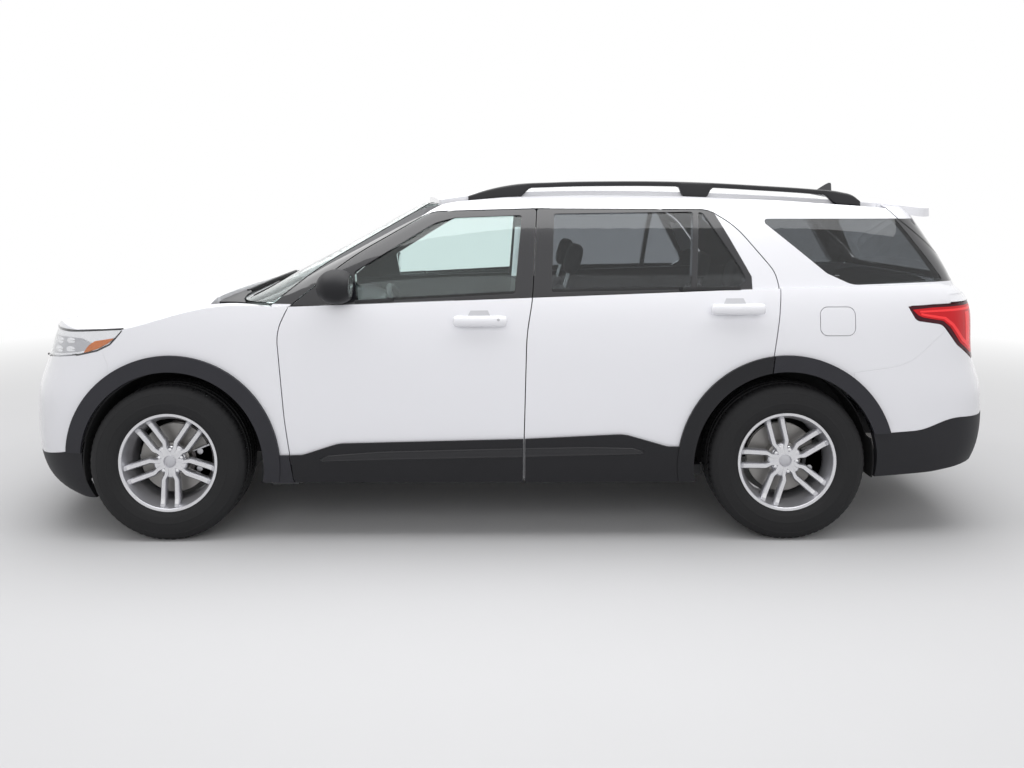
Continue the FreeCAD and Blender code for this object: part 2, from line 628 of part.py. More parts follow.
def roof_panel():
    outline = ((-455.0, 0.0, 900.0), (-345.0, -620.0, 0), (-330.0, -640.0, 0), (1925.0, -640.0, 0), (1925.0, 640.0, 0), (-330.0, 640.0, 0), (-345.0, 620.0, 0))
    return largest(skin(roof_face(0.0), plan_prism(outline, 1500.0, 1900.0), vec(0, 0, -28.0)))


def windshield():
    slope = math.radians(SHIELD_SLOPE_DEG)
    cell = side_prism(SHIELD_CELL, -FAR, FAR, -4.0).common(box(-1500, 0, -FAR, FAR, 1166.0, 1655.0))
    return largest(skin(form_face("cabin", 0.5), cell, vec(5.0 * math.sin(slope), 0, -5.0 * math.cos(slope))))


HOOD_PLAN = (
    (-2800.0, -690.0, 0), (-2300.0, -745.0, 0), (-1436.0, -812.0, 40.0), (-1436.0, 812.0, 40.0), (-2300.0, 745.0, 0), (-2800.0, 690.0, 0),
)


def hood_plan(z_low, grow=0.0):
    return plan_prism(HOOD_PLAN, z_low, 1400.0, grow)


def hood():
    slab = skin(deck_face(0.0), hood_plan(1033.0), vec(0, 0, -34.0)).common(box(-FAR, 0, -FAR, FAR, 1033.0, FAR))
    return largest(slab.common(form_solid("lower")))


def fender():
    cell = side_cell(FENDER_CELL)
    for taken in (hood_plan(900.0, SHUT_GAP), side_cell(HEADLAMP, 0.5), front_arch(ARCH_RADIUS), side_cell(FRONT_DOOR, SHUT_GAP)):
        cell = cell.cut(taken)
    cell = cell.cut(box(-1440.0, -1000.0, -900.0, 0, 1100.0, 1400.0))
    wall = form_wall("lower", 0.0, SKIN_DEPTH).common(cell).common(deck(0.6))
    top_cell = side_cell(((-2330.0, 1031.0, 0), (-2330.0, 1300.0, 0), (-1442.0, 1300.0, 0), (-1442.0, 1031.0, 0))).cut(hood_plan(900.0, SHUT_GAP))
    top = skin(deck_face(0.0), top_cell, vec(0, 0, -34.0)).common(top_cell.cut(side_cell(HEADLAMP, 0.5)))
    top = top.common(form_solid("lower", 0.6))
    return largest(wall.fuse(top))


GRILLE = ((-560.0, 700.0, 60.0), (-610.0, 880.0, 60.0), (-560.0, 1000.0, 40.0), (560.0, 1000.0, 40.0), (610.0, 880.0, 60.0), (560.0, 700.0, 60.0))
INTAKE = ((-520.0, 430.0, 40.0), (-560.0, 590.0, 50.0), (560.0, 590.0, 50.0), (520.0, 430.0, 40.0))


def nose_cover():
    cell = side_prism(NOSE_CELL, -FAR, FAR)
    for taken in (front_arch(ARCH_RADIUS, -FAR, FAR), side_prism(HEADLAMP, -FAR, -609.5, 0.5), side_prism(HEADLAMP, 609.5, FAR, 0.5),
                  front_prism(GRILLE, -FAR, 0), front_prism(INTAKE, -FAR, 0)):
        cell = cell.cut(taken)
    return largest(form_wall("lower", 0.0, SKIN_DEPTH).common(cell))


def grille():
    """Mesh of bars in a frame, set in the nose opening."""
    upper = front_prism(GRILLE, -FAR, 0, -SEAT_GAP)
    for i in range(4):
        z = 730.0 + i * 66.0
        upper = upper.cut(front_prism(GRILLE, -FAR, 0, -24.0).common(box(-FAR, 0, -FAR, FAR, z, z + 46.0)))
    lower = front_prism(INTAKE, -FAR, 0, -SEAT_GAP)
    for z in (455.0, 523.0):
        lower = lower.cut(front_prism(INTAKE, -FAR, 0, -20.0).common(box(-FAR, 0, -FAR, FAR, z, z + 48.0)))
    wall = form_wall("lower", 10.0, 34.0)
    return [largest(wall.common(upper)), largest(wall.common(lower))]


def front_valance():
    cell = side_prism(FRONT_VALANCE, -FAR, FAR).cut(front_arch(ARCH_RADIUS, -FAR, FAR))
    return largest(form_wall("lower", -2.0, SKIN_DEPTH).common(cell))


def rear_valance():
    cell = side_prism(REAR_VALANCE, -FAR, FAR).cut(rear_arch(ARCH_RADIUS, -FAR, FAR))
    return largest(form_wall("lower", -2.0, SKIN_DEPTH, "nose").common(cell))


def tail_cover():
    cell = side_prism(TAIL_CELL, -FAR, FAR)
    for taken in (box(0, FAR, -720.0, 720.0, 700.0, FAR), rear_arch(ARCH_RADIUS, -FAR, FAR), side_prism(TAIL_LAMP, -FAR, FAR, 0.5)):
        cell = cell.cut(taken)
    cover = form_wall("lower", 0.0, SKIN_DEPTH, "nose").common(cell)
    for y in (-500.0, 500.0):
        cover = cover.fuse(Part.makeCylinder(10.0, 46.7, vec(2472.0, y, 660.0)))
    return largest(cover)


def headlamp():
    return largest(form_wall("lower", 0.5, 90.0).common(side_prism(HEADLAMP, -FAR, -610.0)))


def tail_lamp():
    return largest(form_wall("lower", -2.0, 70.0, "nose").common(side_prism(TAIL_LAMP, -FAR, -718.5)))


GATE_WINDOW = ((-640.0, 1290.0, 70.0), (-560.0, 1560.0, 60.0), (560.0, 1560.0, 60.0), (640.0, 1290.0, 70.0))


def liftgate():
    cell = side_prism(GATE_CELL, -FAR, FAR).cut(front_prism(GATE_WINDOW, 0, FAR)).cut(box(0, FAR, -FAR, FAR, 0, 1215.0))
    cell = cell.cut(box(0, FAR, -FAR, -713.0, 0, 1260.0)).cut(box(0, FAR, 713.0, FAR, 0, 1260.0))
    upper = form_wall("cabin", 0.0, 60.0, "nose").common(cell).common(roof_block(6.0))
    lower = form_wall("lower", 0.0, 95.0, "nose").common(box(2150.0, FAR, -713.0, 713.0, 707.0, 1254.0))
    lower = lower.cut(cylinder_y(552.0, 1930.0, 1697.0, -FAR, FAR))
    outline = ((1930.0, -634.0, 0), (2050.0, -636.0, 0), (2160.0, -650.0, 50.0), (2228.0, -600.0, 60.0), (2250.0, 0.0, 900.0),
               (2228.0, 600.0, 60.0), (2160.0, 650.0, 50.0), (2050.0, 636.0, 0), (1930.0, 634.0, 0))
    top = skin(roof_face(0.0), plan_prism(outline, 1400.0, 1900.0), vec(0, 0, -44.0))
    return largest(upper.fuse([lower, top]))


def gate_glass():
    cell = side_prism(GATE_CELL, -FAR, FAR, -SEAT_GAP).common(front_prism(GATE_WINDOW, 1700.0, FAR, -SEAT_GAP))
    return largest(skin(form_face("cabin", 3.0, "nose"), cell, vec(-GLASS_WALL, 0, 0)))


def fuel_door():
    arm = box(1538.0, 1552.0, -982.0, -938.3, 1050.0, 1100.0).cut(form_wall("lower", -20.0, 3.0))
    return largest(flank("lower", 0.0, side_cell(FUEL_DOOR), 6.0).fuse(arm))


def d_glass():
    return largest(flank("cabin", 1.0, side_cell(D_WINDOW, -SEAT_GAP), GLASS_WALL))


def front_flare():
    middle = FRONT_AXLE_X + FRONT_ARCH_SHIFT
    room = box(-2400.0, middle, -FAR, 0, 430.0, FAR).fuse(box(middle, -1000.0, -FAR, 0, 291.0, FAR)).cut(side_cell(FRONT_VALANCE, 1.0))
    stub = cladding(-1180.0, -1000.0, None, [front_arch(FLARE_RADIUS + SEAT_GAP), side_cell(FRONT_DOOR, SHUT_GAP)])
    return [flare(flare_cell(front_arch, room)), stub]


def rear_flare():
    room = box(1000.0, 2100.0, -FAR, 0, 527.0, FAR).cut(side_cell(REAR_DOOR, SHUT_GAP)).cut(side_cell(REAR_VALANCE, 1.0))
    return [flare(flare_cell(rear_arch, room))]


def liner(axle_x, y_outer, y_inner):
    outer = cylinder_y(LINER_RADIUS + LINER_WALL, axle_x, ARCH_Z, y_outer, y_inner)
    inner = cylinder_y(LINER_RADIUS, axle_x, ARCH_Z, y_outer - 10.0, y_inner - LINER_WALL)
    shell = outer.cut(inner).common(box(-FAR, FAR, -FAR, FAR, 480.0, FAR))
    shell = shell.cut(cylinder_y(230.0, axle_x, ARCH_Z, y_inner - 20.0, y_inner + 20.0))
    return shell


def roof_rail():
    """Raised side rail on three feet."""
    bar_points = ((-190.0, 1692.0, 60.0), (30.0, 1749.0, 500.0), (520.0, 1766.0, 900.0), (1000.0, 1760.0, 900.0),
                  (1600.0, 1725.0, 900.0), (1832.0, 1668.0, 60.0), (1700.0, 1692.0, 200.0), (900.0, 1740.0, 900.0), (130.0, 1728.0, 300.0))
    bar = side_prism(bar_points, -672.0, -632.0)
    feet = side_prism(((-190.0, 1640.0, 0), (-190.0, 1692.0, 0), (30.0, 1749.0, 0), (150.0, 1730.0, 0), (110.0, 1640.0, 0)), -668.0, -636.0)
    mid = side_prism(((900.0, 1640.0, 0), (920.0, 1745.0, 0), (1030.0, 1745.0, 0), (1050.0, 1640.0, 0)), -668.0, -636.0)
    end = side_prism(((1650.0, 1600.0, 0), (1600.0, 1725.0, 0), (1832.0, 1668.0, 0), (1832.0, 1600.0, 0)), -668.0, -636.0)
    whole = bar.fuse([feet, mid, end]).cut(roof_block(-0.6))
    return largest(whole)


def roof_fin():
    fin = side_prism(((1780.0, 1670.0, 0), (1800.0, 1716.0, 60.0), (1905.0, OVERALL_HEIGHT, 8.0), (1918.0, OVERALL_HEIGHT, 4.0), (1916.0, 1670.0, 0)), -26.0, 26.0)
    return largest(fin.cut(roof_block(-0.6)))


def cowl():
    edge = [(-1368.0 + d * SHIELD_CORNER_DEPTH - 36.0, w * 930.0) for d, w in SHIELD_PLAN_SHARES if w * 930.0 < 806.0]
    rear = [(x, y, 0) for x, y in edge[::-1]] + [(x, -y, 0) for x, y in edge[1:]]
    outline = [(-1431.0, -806.0, 0), (-1431.0, 806.0, 0), (-1300.0, 806.0, 0)] + rear + [(-1300.0, -806.0, 0)]
    return largest(skin(deck_face(20.0), plan_prism(outline, 900.0, 1400.0), vec(0, 0, -14.0)))


# Cabin floor and inside

FLOOR_Z = 300.0


def floor_pan():
    """Floor, raised cargo floor, bulkhead, frame rails and cowl shelf as one body shell."""
    plate = box(-1150.0, 1000.0, -764.7, 764.7, FLOOR_Z - 30.0, FLOOR_Z + 20.0)
    toe = box(-1300.0, -1150.0, -494.0, 494.0, FLOOR_Z - 30.0, FLOOR_Z + 20.0)
    step = side_prism(((950.0, 270.0, 0), (950.0, 320.0, 0), (1040.0, 560.0, 0), (2380.0, 560.0, 0), (2380.0, 520.0, 0), (1085.0, 520.0, 0), (1000.0, 270.0, 0)), -630.0, 630.0)
    tunnel = side_prism(((-1300.0, 300.0, 0), (-1300.0, 470.0, 0), (300.0, 420.0, 0), (1000.0, 400.0, 0), (1000.0, 300.0, 0)), -130.0, 130.0)
    bulkhead = side_prism(((-1300.0, 280.0, 0), (-1240.0, 1135.0, 0), (-1215.0, 1135.0, 0), (-1275.0, 280.0, 0)), -504.7, 504.7)
    shoulders = box(-1150.0, -1130.0, -764.7, 764.7, 300.0, 1120.0).cut(box(-1160.0, -1100.0, -494.0, 494.0, 0, FAR))
    cheeks = side_prism(((-1290.0, 280.0, 0), (-1232.0, 1120.0, 0), (-1130.0, 1120.0, 0), (-1130.0, 280.0, 0)), -504.7, 504.7)
    cheeks = cheeks.cut(box(-FAR, FAR, -494.0, 494.0, 0, FAR))
    shelf = side_prism(((-1415.0, 1095.0, 0), (-1415.0, 1190.0, 0), (-1395.0, 1190.0, 0), (-1395.0, 1120.0, 0), (-1230.0, 1120.0, 0), (-1230.0, 1095.0, 0)), -700.0, 700.0)
    shelf = shelf.common(deck(34.0 + SEAT_GAP))
    rails = box(-2350.0, -1260.0, -420.0, -360.0, 400.0, 500.0)
    rear_rails = box(1000.0, 2380.0, -600.0, -540.0, 440.0, 525.0)
    return largest(plate.fuse([toe, step, tunnel, bulkhead, shoulders, cheeks, shelf, rails, mirrored(rails), rear_rails, mirrored(rear_rails)]))


def radiator():
    """Radiator core between the frame rails, with the hood's rubber stops on its top bar."""
    core = box(-2300.0, -2260.0, -560.0, 560.0, 500.3, 985.0)
    bar = box(-2290.0, -2250.0, -585.0, 585.0, 960.0, 1003.0)
    stops = [Part.makeCylinder(12.0, 120.0, vec(-2270.0, y, 990.0)).common(deck(34.0 + SEAT_GAP)) for y in (-480.0, 480.0)]
    return largest(core.fuse([bar] + stops))


def dashboard():
    """Instrument panel with the steering column's shroud."""
    points = ((-1216.4, 1090.0, 0), (-900.0, 1118.0, 60.0), (-760.0, 1060.0, 60.0), (-740.0, 900.0, 40.0), (-860.0, 740.0, 80.0), (-1241.0, 760.0, 0.0))
    outer = ((-1129.7, 1085.0, 0),) + points[1:5] + ((-1129.7, 755.0, 0),)
    tilt = math.radians(25.0)
    column = Part.makeCylinder(40.0, 235.0, vec(-560.0 - 25.3 * math.cos(tilt), -380.0, 1040.0 - 25.3 * math.sin(tilt)), vec(-math.cos(tilt), 0, -math.sin(tilt)))
    return largest(side_prism(points, -494.0, 494.0).fuse([side_prism(outer, -750.0, 750.0), column]))


def pipe(points, radius):
    """Round pipe through points, with ball corners."""
    pieces = []
    for start, end in zip(points, points[1:]):
        run = vec(*end) - vec(*start)
        pieces.append(Part.makeCylinder(radius, run.Length, vec(*start), run))
        pieces.append(Part.makeSphere(radius, vec(*end)))
    return pieces[0].fuse(pieces[1:])


def exhaust():
    """Pipe, rear silencer and the two hangers under the cargo floor."""
    line = pipe(((-1150.0, 0, 238.0), (1010.0, 0, 238.0), (1130.0, -430.0, 370.0), (1800.0, -430.0, 370.0)), 26.0)
    silencer = side_prism(((1720.0, 320.0, 60.0), (1720.0, 460.0, 60.0), (2120.0, 460.0, 60.0), (2120.0, 320.0, 60.0)), -500.0, 200.0)
    hangers = [Part.makeCylinder(7.0, 79.7, vec(1920.0, y, 440.0)) for y in (-300.0, 100.0)]
    return largest(line.fuse([silencer] + hangers))


def seat(y, width, x, z, back_height):
    """Cushion, back and headrest of one seat, joined."""
    cushion = side_prism(((x, z, 40.0), (x, z + 150.0, 60.0), (x + 480.0, z + 120.0, 0), (x + 480.0, z - 20.0, 30.0)), y - width / 2, y + width / 2)
    back = side_prism(((x + 430.0, z + 20.0, 30.0), (x + 430.0, z + 140.0, 0), (x + 620.0, z + 140.0 + back_height, 50.0), (x + 740.0, z + 120.0 + back_height, 50.0), (x + 590.0, z, 40.0)), y - width / 2, y + width / 2)
    rest_x = x + 650.0
    rest = side_prism(((rest_x, z + 200.0 + back_height, 30.0), (rest_x + 20.0, z + 340.0 + back_height, 30.0), (rest_x + 110.0, z + 340.0 + back_height, 30.0), (rest_x + 90.0, z + 200.0 + back_height, 30.0)), y - 125.0, y + 125.0)
    post = box(rest_x + 40.0, rest_x + 54.0, y - 60.0, y + 60.0, z + 100.0 + back_height, z + 220.0 + back_height)
    stand = box(x + 60.0, x + 440.0, y - width / 2 + 40.0, y + width / 2 - 40.0, FLOOR_Z + 20.0 + SEAT_GAP, z + 20.0)
    return cushion.fuse([back, rest, post, stand])


def rear_seat(x, y_low, y_high, z, back_height, floor_z):
    cushion = side_prism(((x, z, 40.0), (x, z + 140.0, 60.0), (x + 440.0, z + 120.0, 0), (x + 440.0, z - 20.0, 30.0)), y_low, y_high)
    back = side_prism(((x + 400.0, z + 20.0, 30.0), (x + 400.0, z + 140.0, 0), (x + 530.0, z + 140.0 + back_height, 50.0), (x + 640.0, z + 120.0 + back_height, 50.0), (x + 550.0, z, 40.0)), y_low, y_high)
    stands = [box(x + 20.0, x + 290.0, y_low + 60.0, -150.0, floor_z + SEAT_GAP, z + 10.0),
              box(x + 20.0, x + 290.0, 150.0, y_high - 60.0, floor_z + SEAT_GAP, z + 10.0)]
    return cushion.fuse([back] + stands)


# Wheels

def ring_y(points, centre):
    """Solid of revolution about the wheel's axis, from a profile (distance outboard, radius)."""
    x, y, z = centre
    corners = [vec(x, y - out, z + radius) for out, radius in points]
    corners.append(corners[0])
    return Part.Face(Part.makePolygon(corners)).revolve(vec(x, y, z), vec(0, 1, 0), 360)


def tyre(centre):
    half = TYRE_WIDTH / 2
    tread = TREAD_WIDTH / 2
    rim_half = RIM_WIDTH / 2
    outer = [(-rim_half + 10.0, BEAD_RADIUS + SEAT_GAP), (-rim_half + 8.0, BEAD_RADIUS + 16.0), (-rim_half - 4.0, BEAD_RADIUS + 26.0),
             (-half + 4.0, 276.0), (-half, 304.0), (-half + 5.0, 338.0), (-tread - 4.0, 368.0), (-tread + 10.0, 381.0), (-tread + 40.0, TYRE_RADIUS)]
    ring = outer + [(-u, r) for u, r in outer[::-1]]
    inner = [(-rim_half + 24.0, BEAD_RADIUS + SEAT_GAP), (-rim_half + 22.0, BEAD_RADIUS + 20.0), (-half + 18.0, 290.0), (-half + 16.0, 318.0), (-tread + 14.0, 358.0), (-tread + 40.0, 366.0)]
    hollow = inner + [(-u, r) for u, r in inner[::-1]]
    return ring_y(ring + hollow[::-1], centre)


def rim(centre, turn_deg):
    x, y, z = centre
    half = RIM_WIDTH / 2
    profile = [(half, RIM_RADIUS), (half - 7.0, RIM_RADIUS), (half - 9.0, BEAD_RADIUS), (half - 40.0, BEAD_RADIUS - 3.0), (half - 60.0, BARREL_RADIUS),
               (-half + 44.0, BARREL_RADIUS), (-half + 24.0, BEAD_RADIUS), (-half + 9.0, BEAD_RADIUS), (-half + 7.0, RIM_RADIUS), (-half, RIM_RADIUS),
               (-half, RIM_RADIUS - RIM_WALL), (-half + 14.0, BEAD_RADIUS - RIM_WALL), (-half + 34.0, BARREL_RADIUS - RIM_WALL),
               (half - 62.0, BARREL_RADIUS - RIM_WALL), (half - 38.0, BEAD_RADIUS - 12.0), (half - 12.0, BEAD_RADIUS - 10.0), (half, RIM_RADIUS - RIM_WALL)]
    barrel = ring_y(profile, centre)
    hub = ring_y([(0.0 + MOUNT_FACE_OFFSET + 1.0, 0.0), (MOUNT_FACE_OFFSET + 1.0, HUB_RADIUS), (MOUNT_FACE_OFFSET + 34.0, HUB_RADIUS - 8.0), (MOUNT_FACE_OFFSET + 38.0, 0.0)], centre)
    pieces = [hub]
    for i in range(SPOKE_COUNT):
        for side in (-1, 1):
            angle = 360.0 / SPOKE_COUNT * i + side * SPOKE_SPREAD_DEG / 2
            points = ((40.0, 52.0), (RIM_RADIUS - 16.0, 62.0), (RIM_RADIUS - 16.0, 96.0), (40.0, 82.0))
            corners = [vec(x + r, y - out, z - SPOKE_WIDTH / 2) for r, out in points]
            corners.append(corners[0])
            bar = Part.Face(Part.makePolygon(corners)).extrude(vec(0, 0, SPOKE_WIDTH))
            bar.translate(vec(0, 0, side * 14.0))
            bar.rotate(vec(x, y, z), vec(0, 1, 0), -(turn_deg + angle))
            pieces.append(bar)
    disc = ring_y([(MOUNT_FACE_OFFSET - 43.0, HAT_RADIUS - 9.0), (MOUNT_FACE_OFFSET - 43.0, HAT_RADIUS), (MOUNT_FACE_OFFSET - 43.0, DISC_RADIUS),
                   (MOUNT_FACE_OFFSET - 43.0 - DISC_WALL, DISC_RADIUS), (MOUNT_FACE_OFFSET - 43.0 - DISC_WALL, HAT_RADIUS - 9.0)], centre)
    hat = ring_y([(MOUNT_FACE_OFFSET - 6.0, 0.0), (MOUNT_FACE_OFFSET + 1.0, 0.0), (MOUNT_FACE_OFFSET + 1.0, HAT_RADIUS), (MOUNT_FACE_OFFSET - 50.0, HAT_RADIUS),
                  (MOUNT_FACE_OFFSET - 50.0, HAT_RADIUS - 9.0), (MOUNT_FACE_OFFSET - 6.0, HAT_RADIUS - 9.0)], centre)
    return barrel.fuse(pieces + [disc, hat])


def knuckle(x, top_z, bottom_z):
    """Upright with its bearing housing and the brake caliper, left side."""
    y = -WHEEL_Y
    z = TYRE_RADIUS
    face = y - MOUNT_FACE_OFFSET + 6.0 + SEAT_GAP
    housing = cylinder_y(56.0, x, z, face, -770.0)
    upright = side_prism(((x - 40.0, bottom_z, 20.0), (x - 62.0, z, 60.0), (x - 34.0, top_z, 20.0), (x + 34.0, top_z, 20.0), (x + 62.0, z, 60.0), (x + 40.0, bottom_z, 20.0)), -815.0, -775.0)
    ring = cylinder_y(199.0, x, z, -885.0, -790.0).cut(cylinder_y(98.0, x, z, -890.0, -780.0))
    wedge = side_prism(((x, z, 0), (x + 400.0, z - 210.0, 0), (x + 400.0, z + 150.0, 0)), -FAR, 0)
    slot_space = cylinder_y(DISC_RADIUS + 6.0, x, z, -856.0, -818.0)
    caliper = ring.common(wedge).cut(slot_space)
    bracket = box(x + 30.0, x + 130.0, -815.0, -790.0, z - 40.0, z + 30.0)
    return largest(housing.fuse([upright, caliper, bracket]))


def export(name, shapes):
    """Write one node, made of one or more separate solids."""
    if not isinstance(shapes, (list, tuple)):
        shapes = [shapes]
    solids = [s for shape in shapes for s in solids_of(shape)]
    result = solids[0] if len(solids) == 1 else Part.makeCompound(solids)
    if not result.isValid():
        print("not valid:", name)
    print(name, len(solids), round(result.Volume / 1e6, 2))
    result.exportStep("parts/" + name + ".step")


def both(shape):
    shapes = shape if isinstance(shape, (list, tuple)) else [shape]
    return list(shapes) + [mirrored(s) for s in shapes]


def main():
    os.makedirs("parts", exist_ok=True)
    for label, maker in (("front", door_front), ("rear", door_rear)):
        shell, glass, trim = maker()
        for side, change in (("left", lambda s: s), ("right", mirrored)):
            name = "door_" + label + "_" + side
            export(name, change(shell))
            export(name + "_glass", [change(s) for s in (glass if isinstance(glass, list) else [glass])])
            export(name + "_trim", [change(s) for s in trim])
    side = body_side()
    export("body_side_left", side.cut(fuel_pocket()))
    export("body_side_right", mirrored(side))
    export("roof_panel", roof_panel())
    export("windshield", windshield())
    export("quarter_glass", both(d_glass()))
    export("hood", hood())
    export("fenders", both(fender()))
    export("bumper_covers", [nose_cover(), tail_cover()])
    export("lower_valances", [front_valance(), rear_valance()])
    export("grille", grille())
    export("headlamps", both(headlamp()))
    export("tail_lamps", both(tail_lamp()))
    export("liftgate", liftgate())
    export("liftgate_glass", gate_glass())
    export("fuel_door", fuel_door())
    export("arch_trim", both(front_flare() + rear_flare()))
    export("wheel_liners", both([liner(FRONT_AXLE_X + FRONT_ARCH_SHIFT, -925.0, -505.0), liner(REAR_AXLE_X + REAR_ARCH_SHIFT, -849.0, -655.0)]))
    export("roof_trim", both(roof_rail()) + [roof_fin()])
    export("cowl_panel", cowl())
    export("floor_pan", floor_pan())
    export("dashboard", dashboard())
    export("front_seats", both(seat(-380.0, 520.0, -330.0, 540.0, 560.0)))
    export("rear_seats", [rear_seat(640.0, -640.0, 640.0, 585.0, 460.0, 320.0), rear_seat(1480.0, -560.0, 560.0, 680.0, 380.0, 560.0)])
    export("engine_block", box(-2100.0, -1420.0, -300.0, 300.0, 420.0, 960.0))
    wheels = (("front_left", FRONT_AXLE_X, 1, 270.0), ("front_right", FRONT_AXLE_X, -1, 270.0), ("rear_left", REAR_AXLE_X, 1, 249.0), ("rear_right", REAR_AXLE_X, -1, 249.0))
    for name, x, hand, turn in wheels:
        centre = (x, -WHEEL_Y, TYRE_RADIUS)
        place = (lambda s: s) if hand > 0 else mirrored
        export("tyre_" + name, place(tyre(centre)))
        export("rim_" + name, place(rim(centre, turn)))
    knuckle_left = knuckle(FRONT_AXLE_X, 560.0, 258.3)
    export("knuckle_front_left", knuckle_left)
    export("knuckle_front_right", mirrored(knuckle_left))
    rear_knuckle = knuckle(REAR_AXLE_X, 540.0, 230.0)
    arms = box(REAR_AXLE_X - 30.0, REAR_AXLE_X + 30.0, -780.0, -300.0, 236.0, 270.0).fuse(box(REAR_AXLE_X - 22.0, REAR_AXLE_X + 22.0, -780.0, -300.0, 400.0, 430.0))
    cradle = box(REAR_AXLE_X - 230.0, REAR_AXLE_X + 230.0, -330.0, 330.0, 240.0, 330.0).fuse(box(REAR_AXLE_X - 60.0, REAR_AXLE_X + 60.0, -330.0, 330.0, 320.0, 519.7))
    rear_frame = cradle.fuse([rear_knuckle, arms, mirrored(rear_knuckle), mirrored(arms)])
    arm = plan_prism(((FRONT_AXLE_X - 28.0, -797.0, 0), (FRONT_AXLE_X - 28.0, -650.0, 0), (FRONT_AXLE_X - 130.0, -500.0, 0), (FRONT_AXLE_X - 130.0, -400.0, 0),
                      (FRONT_AXLE_X + 130.0, -400.0, 0), (FRONT_AXLE_X + 130.0, -500.0, 0), (FRONT_AXLE_X + 28.0, -650.0, 0), (FRONT_AXLE_X + 28.0, -797.0, 0)), 232.0, 258.0)
    front_cradle = box(FRONT_AXLE_X - 260.0, FRONT_AXLE_X + 260.0, -430.0, 430.0, 190.0, 270.0).fuse(box(FRONT_AXLE_X + 200.0, FRONT_AXLE_X + 260.0, -430.0, 430.0, 250.0, 399.7))
    front_cradle = front_cradle.fuse(box(FRONT_AXLE_X + 160.0, FRONT_AXLE_X + 220.0, -280.0, 280.0, 250.0, 419.7))
    front_frame = front_cradle.fuse([arm, mirrored(arm)])
    export("axle_frames", [front_frame, rear_frame])
    wheel = Part.makeTorus(178.0, 15.0).fuse([Part.makeCylinder(60.0, 40.0, vec(0, 0, -25.0)), box(-170.0, 170.0, -20.0, 20.0, -8.0, 8.0), box(-20.0, 20.0, -170.0, 0, -8.0, 8.0)])
    wheel.rotate(vec(0, 0, 0), vec(0, 0, 1), 90)
    wheel.rotate(vec(0, 0, 0), vec(0, 1, 0), 65)
    wheel.translate(vec(-560.0, -380.0, 1040.0))
    export("steering_wheel", wheel)
    export("exhaust", exhaust())
    export("radiator", radiator())


if __name__ == "__main__":
    main()
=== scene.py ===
"""Looks of a white three-row family SUV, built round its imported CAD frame.

Metres, in the CAD frame: nose towards -X, the car's left towards -Y, +Z up, floor at z 0.
Outlines are tables of (x, z) seen from the side, and lathe profiles are tables of (outboard, radius).
A piece is made for the car's left and mirrored for its right.
"""
import math

import bmesh
import bpy
import numpy as np
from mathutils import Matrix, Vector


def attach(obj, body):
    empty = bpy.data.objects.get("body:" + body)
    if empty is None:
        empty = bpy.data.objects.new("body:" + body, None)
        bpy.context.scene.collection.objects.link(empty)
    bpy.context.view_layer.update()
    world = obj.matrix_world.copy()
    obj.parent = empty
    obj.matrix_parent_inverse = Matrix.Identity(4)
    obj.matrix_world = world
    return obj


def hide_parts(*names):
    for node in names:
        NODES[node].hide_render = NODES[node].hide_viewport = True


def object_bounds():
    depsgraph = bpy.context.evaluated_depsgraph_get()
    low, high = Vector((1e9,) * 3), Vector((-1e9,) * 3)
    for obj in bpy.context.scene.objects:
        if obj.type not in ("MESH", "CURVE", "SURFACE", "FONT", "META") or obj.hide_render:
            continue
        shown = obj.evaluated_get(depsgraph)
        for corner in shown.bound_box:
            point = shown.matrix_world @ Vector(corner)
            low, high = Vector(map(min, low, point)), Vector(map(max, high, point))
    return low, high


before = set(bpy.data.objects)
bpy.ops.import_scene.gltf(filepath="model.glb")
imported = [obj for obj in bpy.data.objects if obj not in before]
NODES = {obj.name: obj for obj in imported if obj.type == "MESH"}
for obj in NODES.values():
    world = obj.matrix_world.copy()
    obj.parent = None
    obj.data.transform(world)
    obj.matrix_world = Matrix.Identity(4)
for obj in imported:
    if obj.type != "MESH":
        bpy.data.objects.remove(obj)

bl_info = {
    "name": "Family SUV looks",
    "version": (1, 0, 0),
    "blender": (4, 5, 0),
    "location": "3D View > Sidebar > Family SUV",
    "description": "Dresses the packed CAD frame of a white family SUV",
    "category": "Object",
}

CAD_BOX = [list(map(float, corner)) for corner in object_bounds()]
SIDES = (("left", -1.0), ("right", 1.0))
ENDS = ("front", "rear")
AXLES = {"front": -1.645, "rear": 1.38}
WHEEL_Y = 0.851
WHEEL_Z = 0.385
ARCHES = {"front": -1.625, "rear": 1.37}
ARCH_Z = 0.383


# Sizes and colours that a user would change

def length_prop(name, description, default):
    return bpy.props.FloatProperty(name=name, description=description, default=default, unit="LENGTH",
                                   precision=4)


def power_prop(name, description, default):
    return bpy.props.FloatProperty(name=name, description=description, default=default, unit="POWER")


def colour_prop(name, description, default):
    return bpy.props.FloatVectorProperty(name=name, description=description, default=default, size=3,
                                         subtype="COLOR", min=0.0, max=1.0)


class BodySettings(bpy.types.PropertyGroup):
    paint: colour_prop("Paint", "Colour of the painted panels", (0.8, 0.802, 0.84))
    trim: colour_prop("Trim", "Colour of the moulded lower trim", (0.016, 0.016, 0.02))
    gloss: colour_prop("Gloss black", "Colour of the pillar covers", (0.012, 0.012, 0.015))
    clear_tint: colour_prop("Front glass", "Tint of the windshield and front windows", (0.8, 0.9, 0.888))
    dark_tint: colour_prop("Rear glass", "Tint of the rear side and back windows", (0.36, 0.38, 0.4))


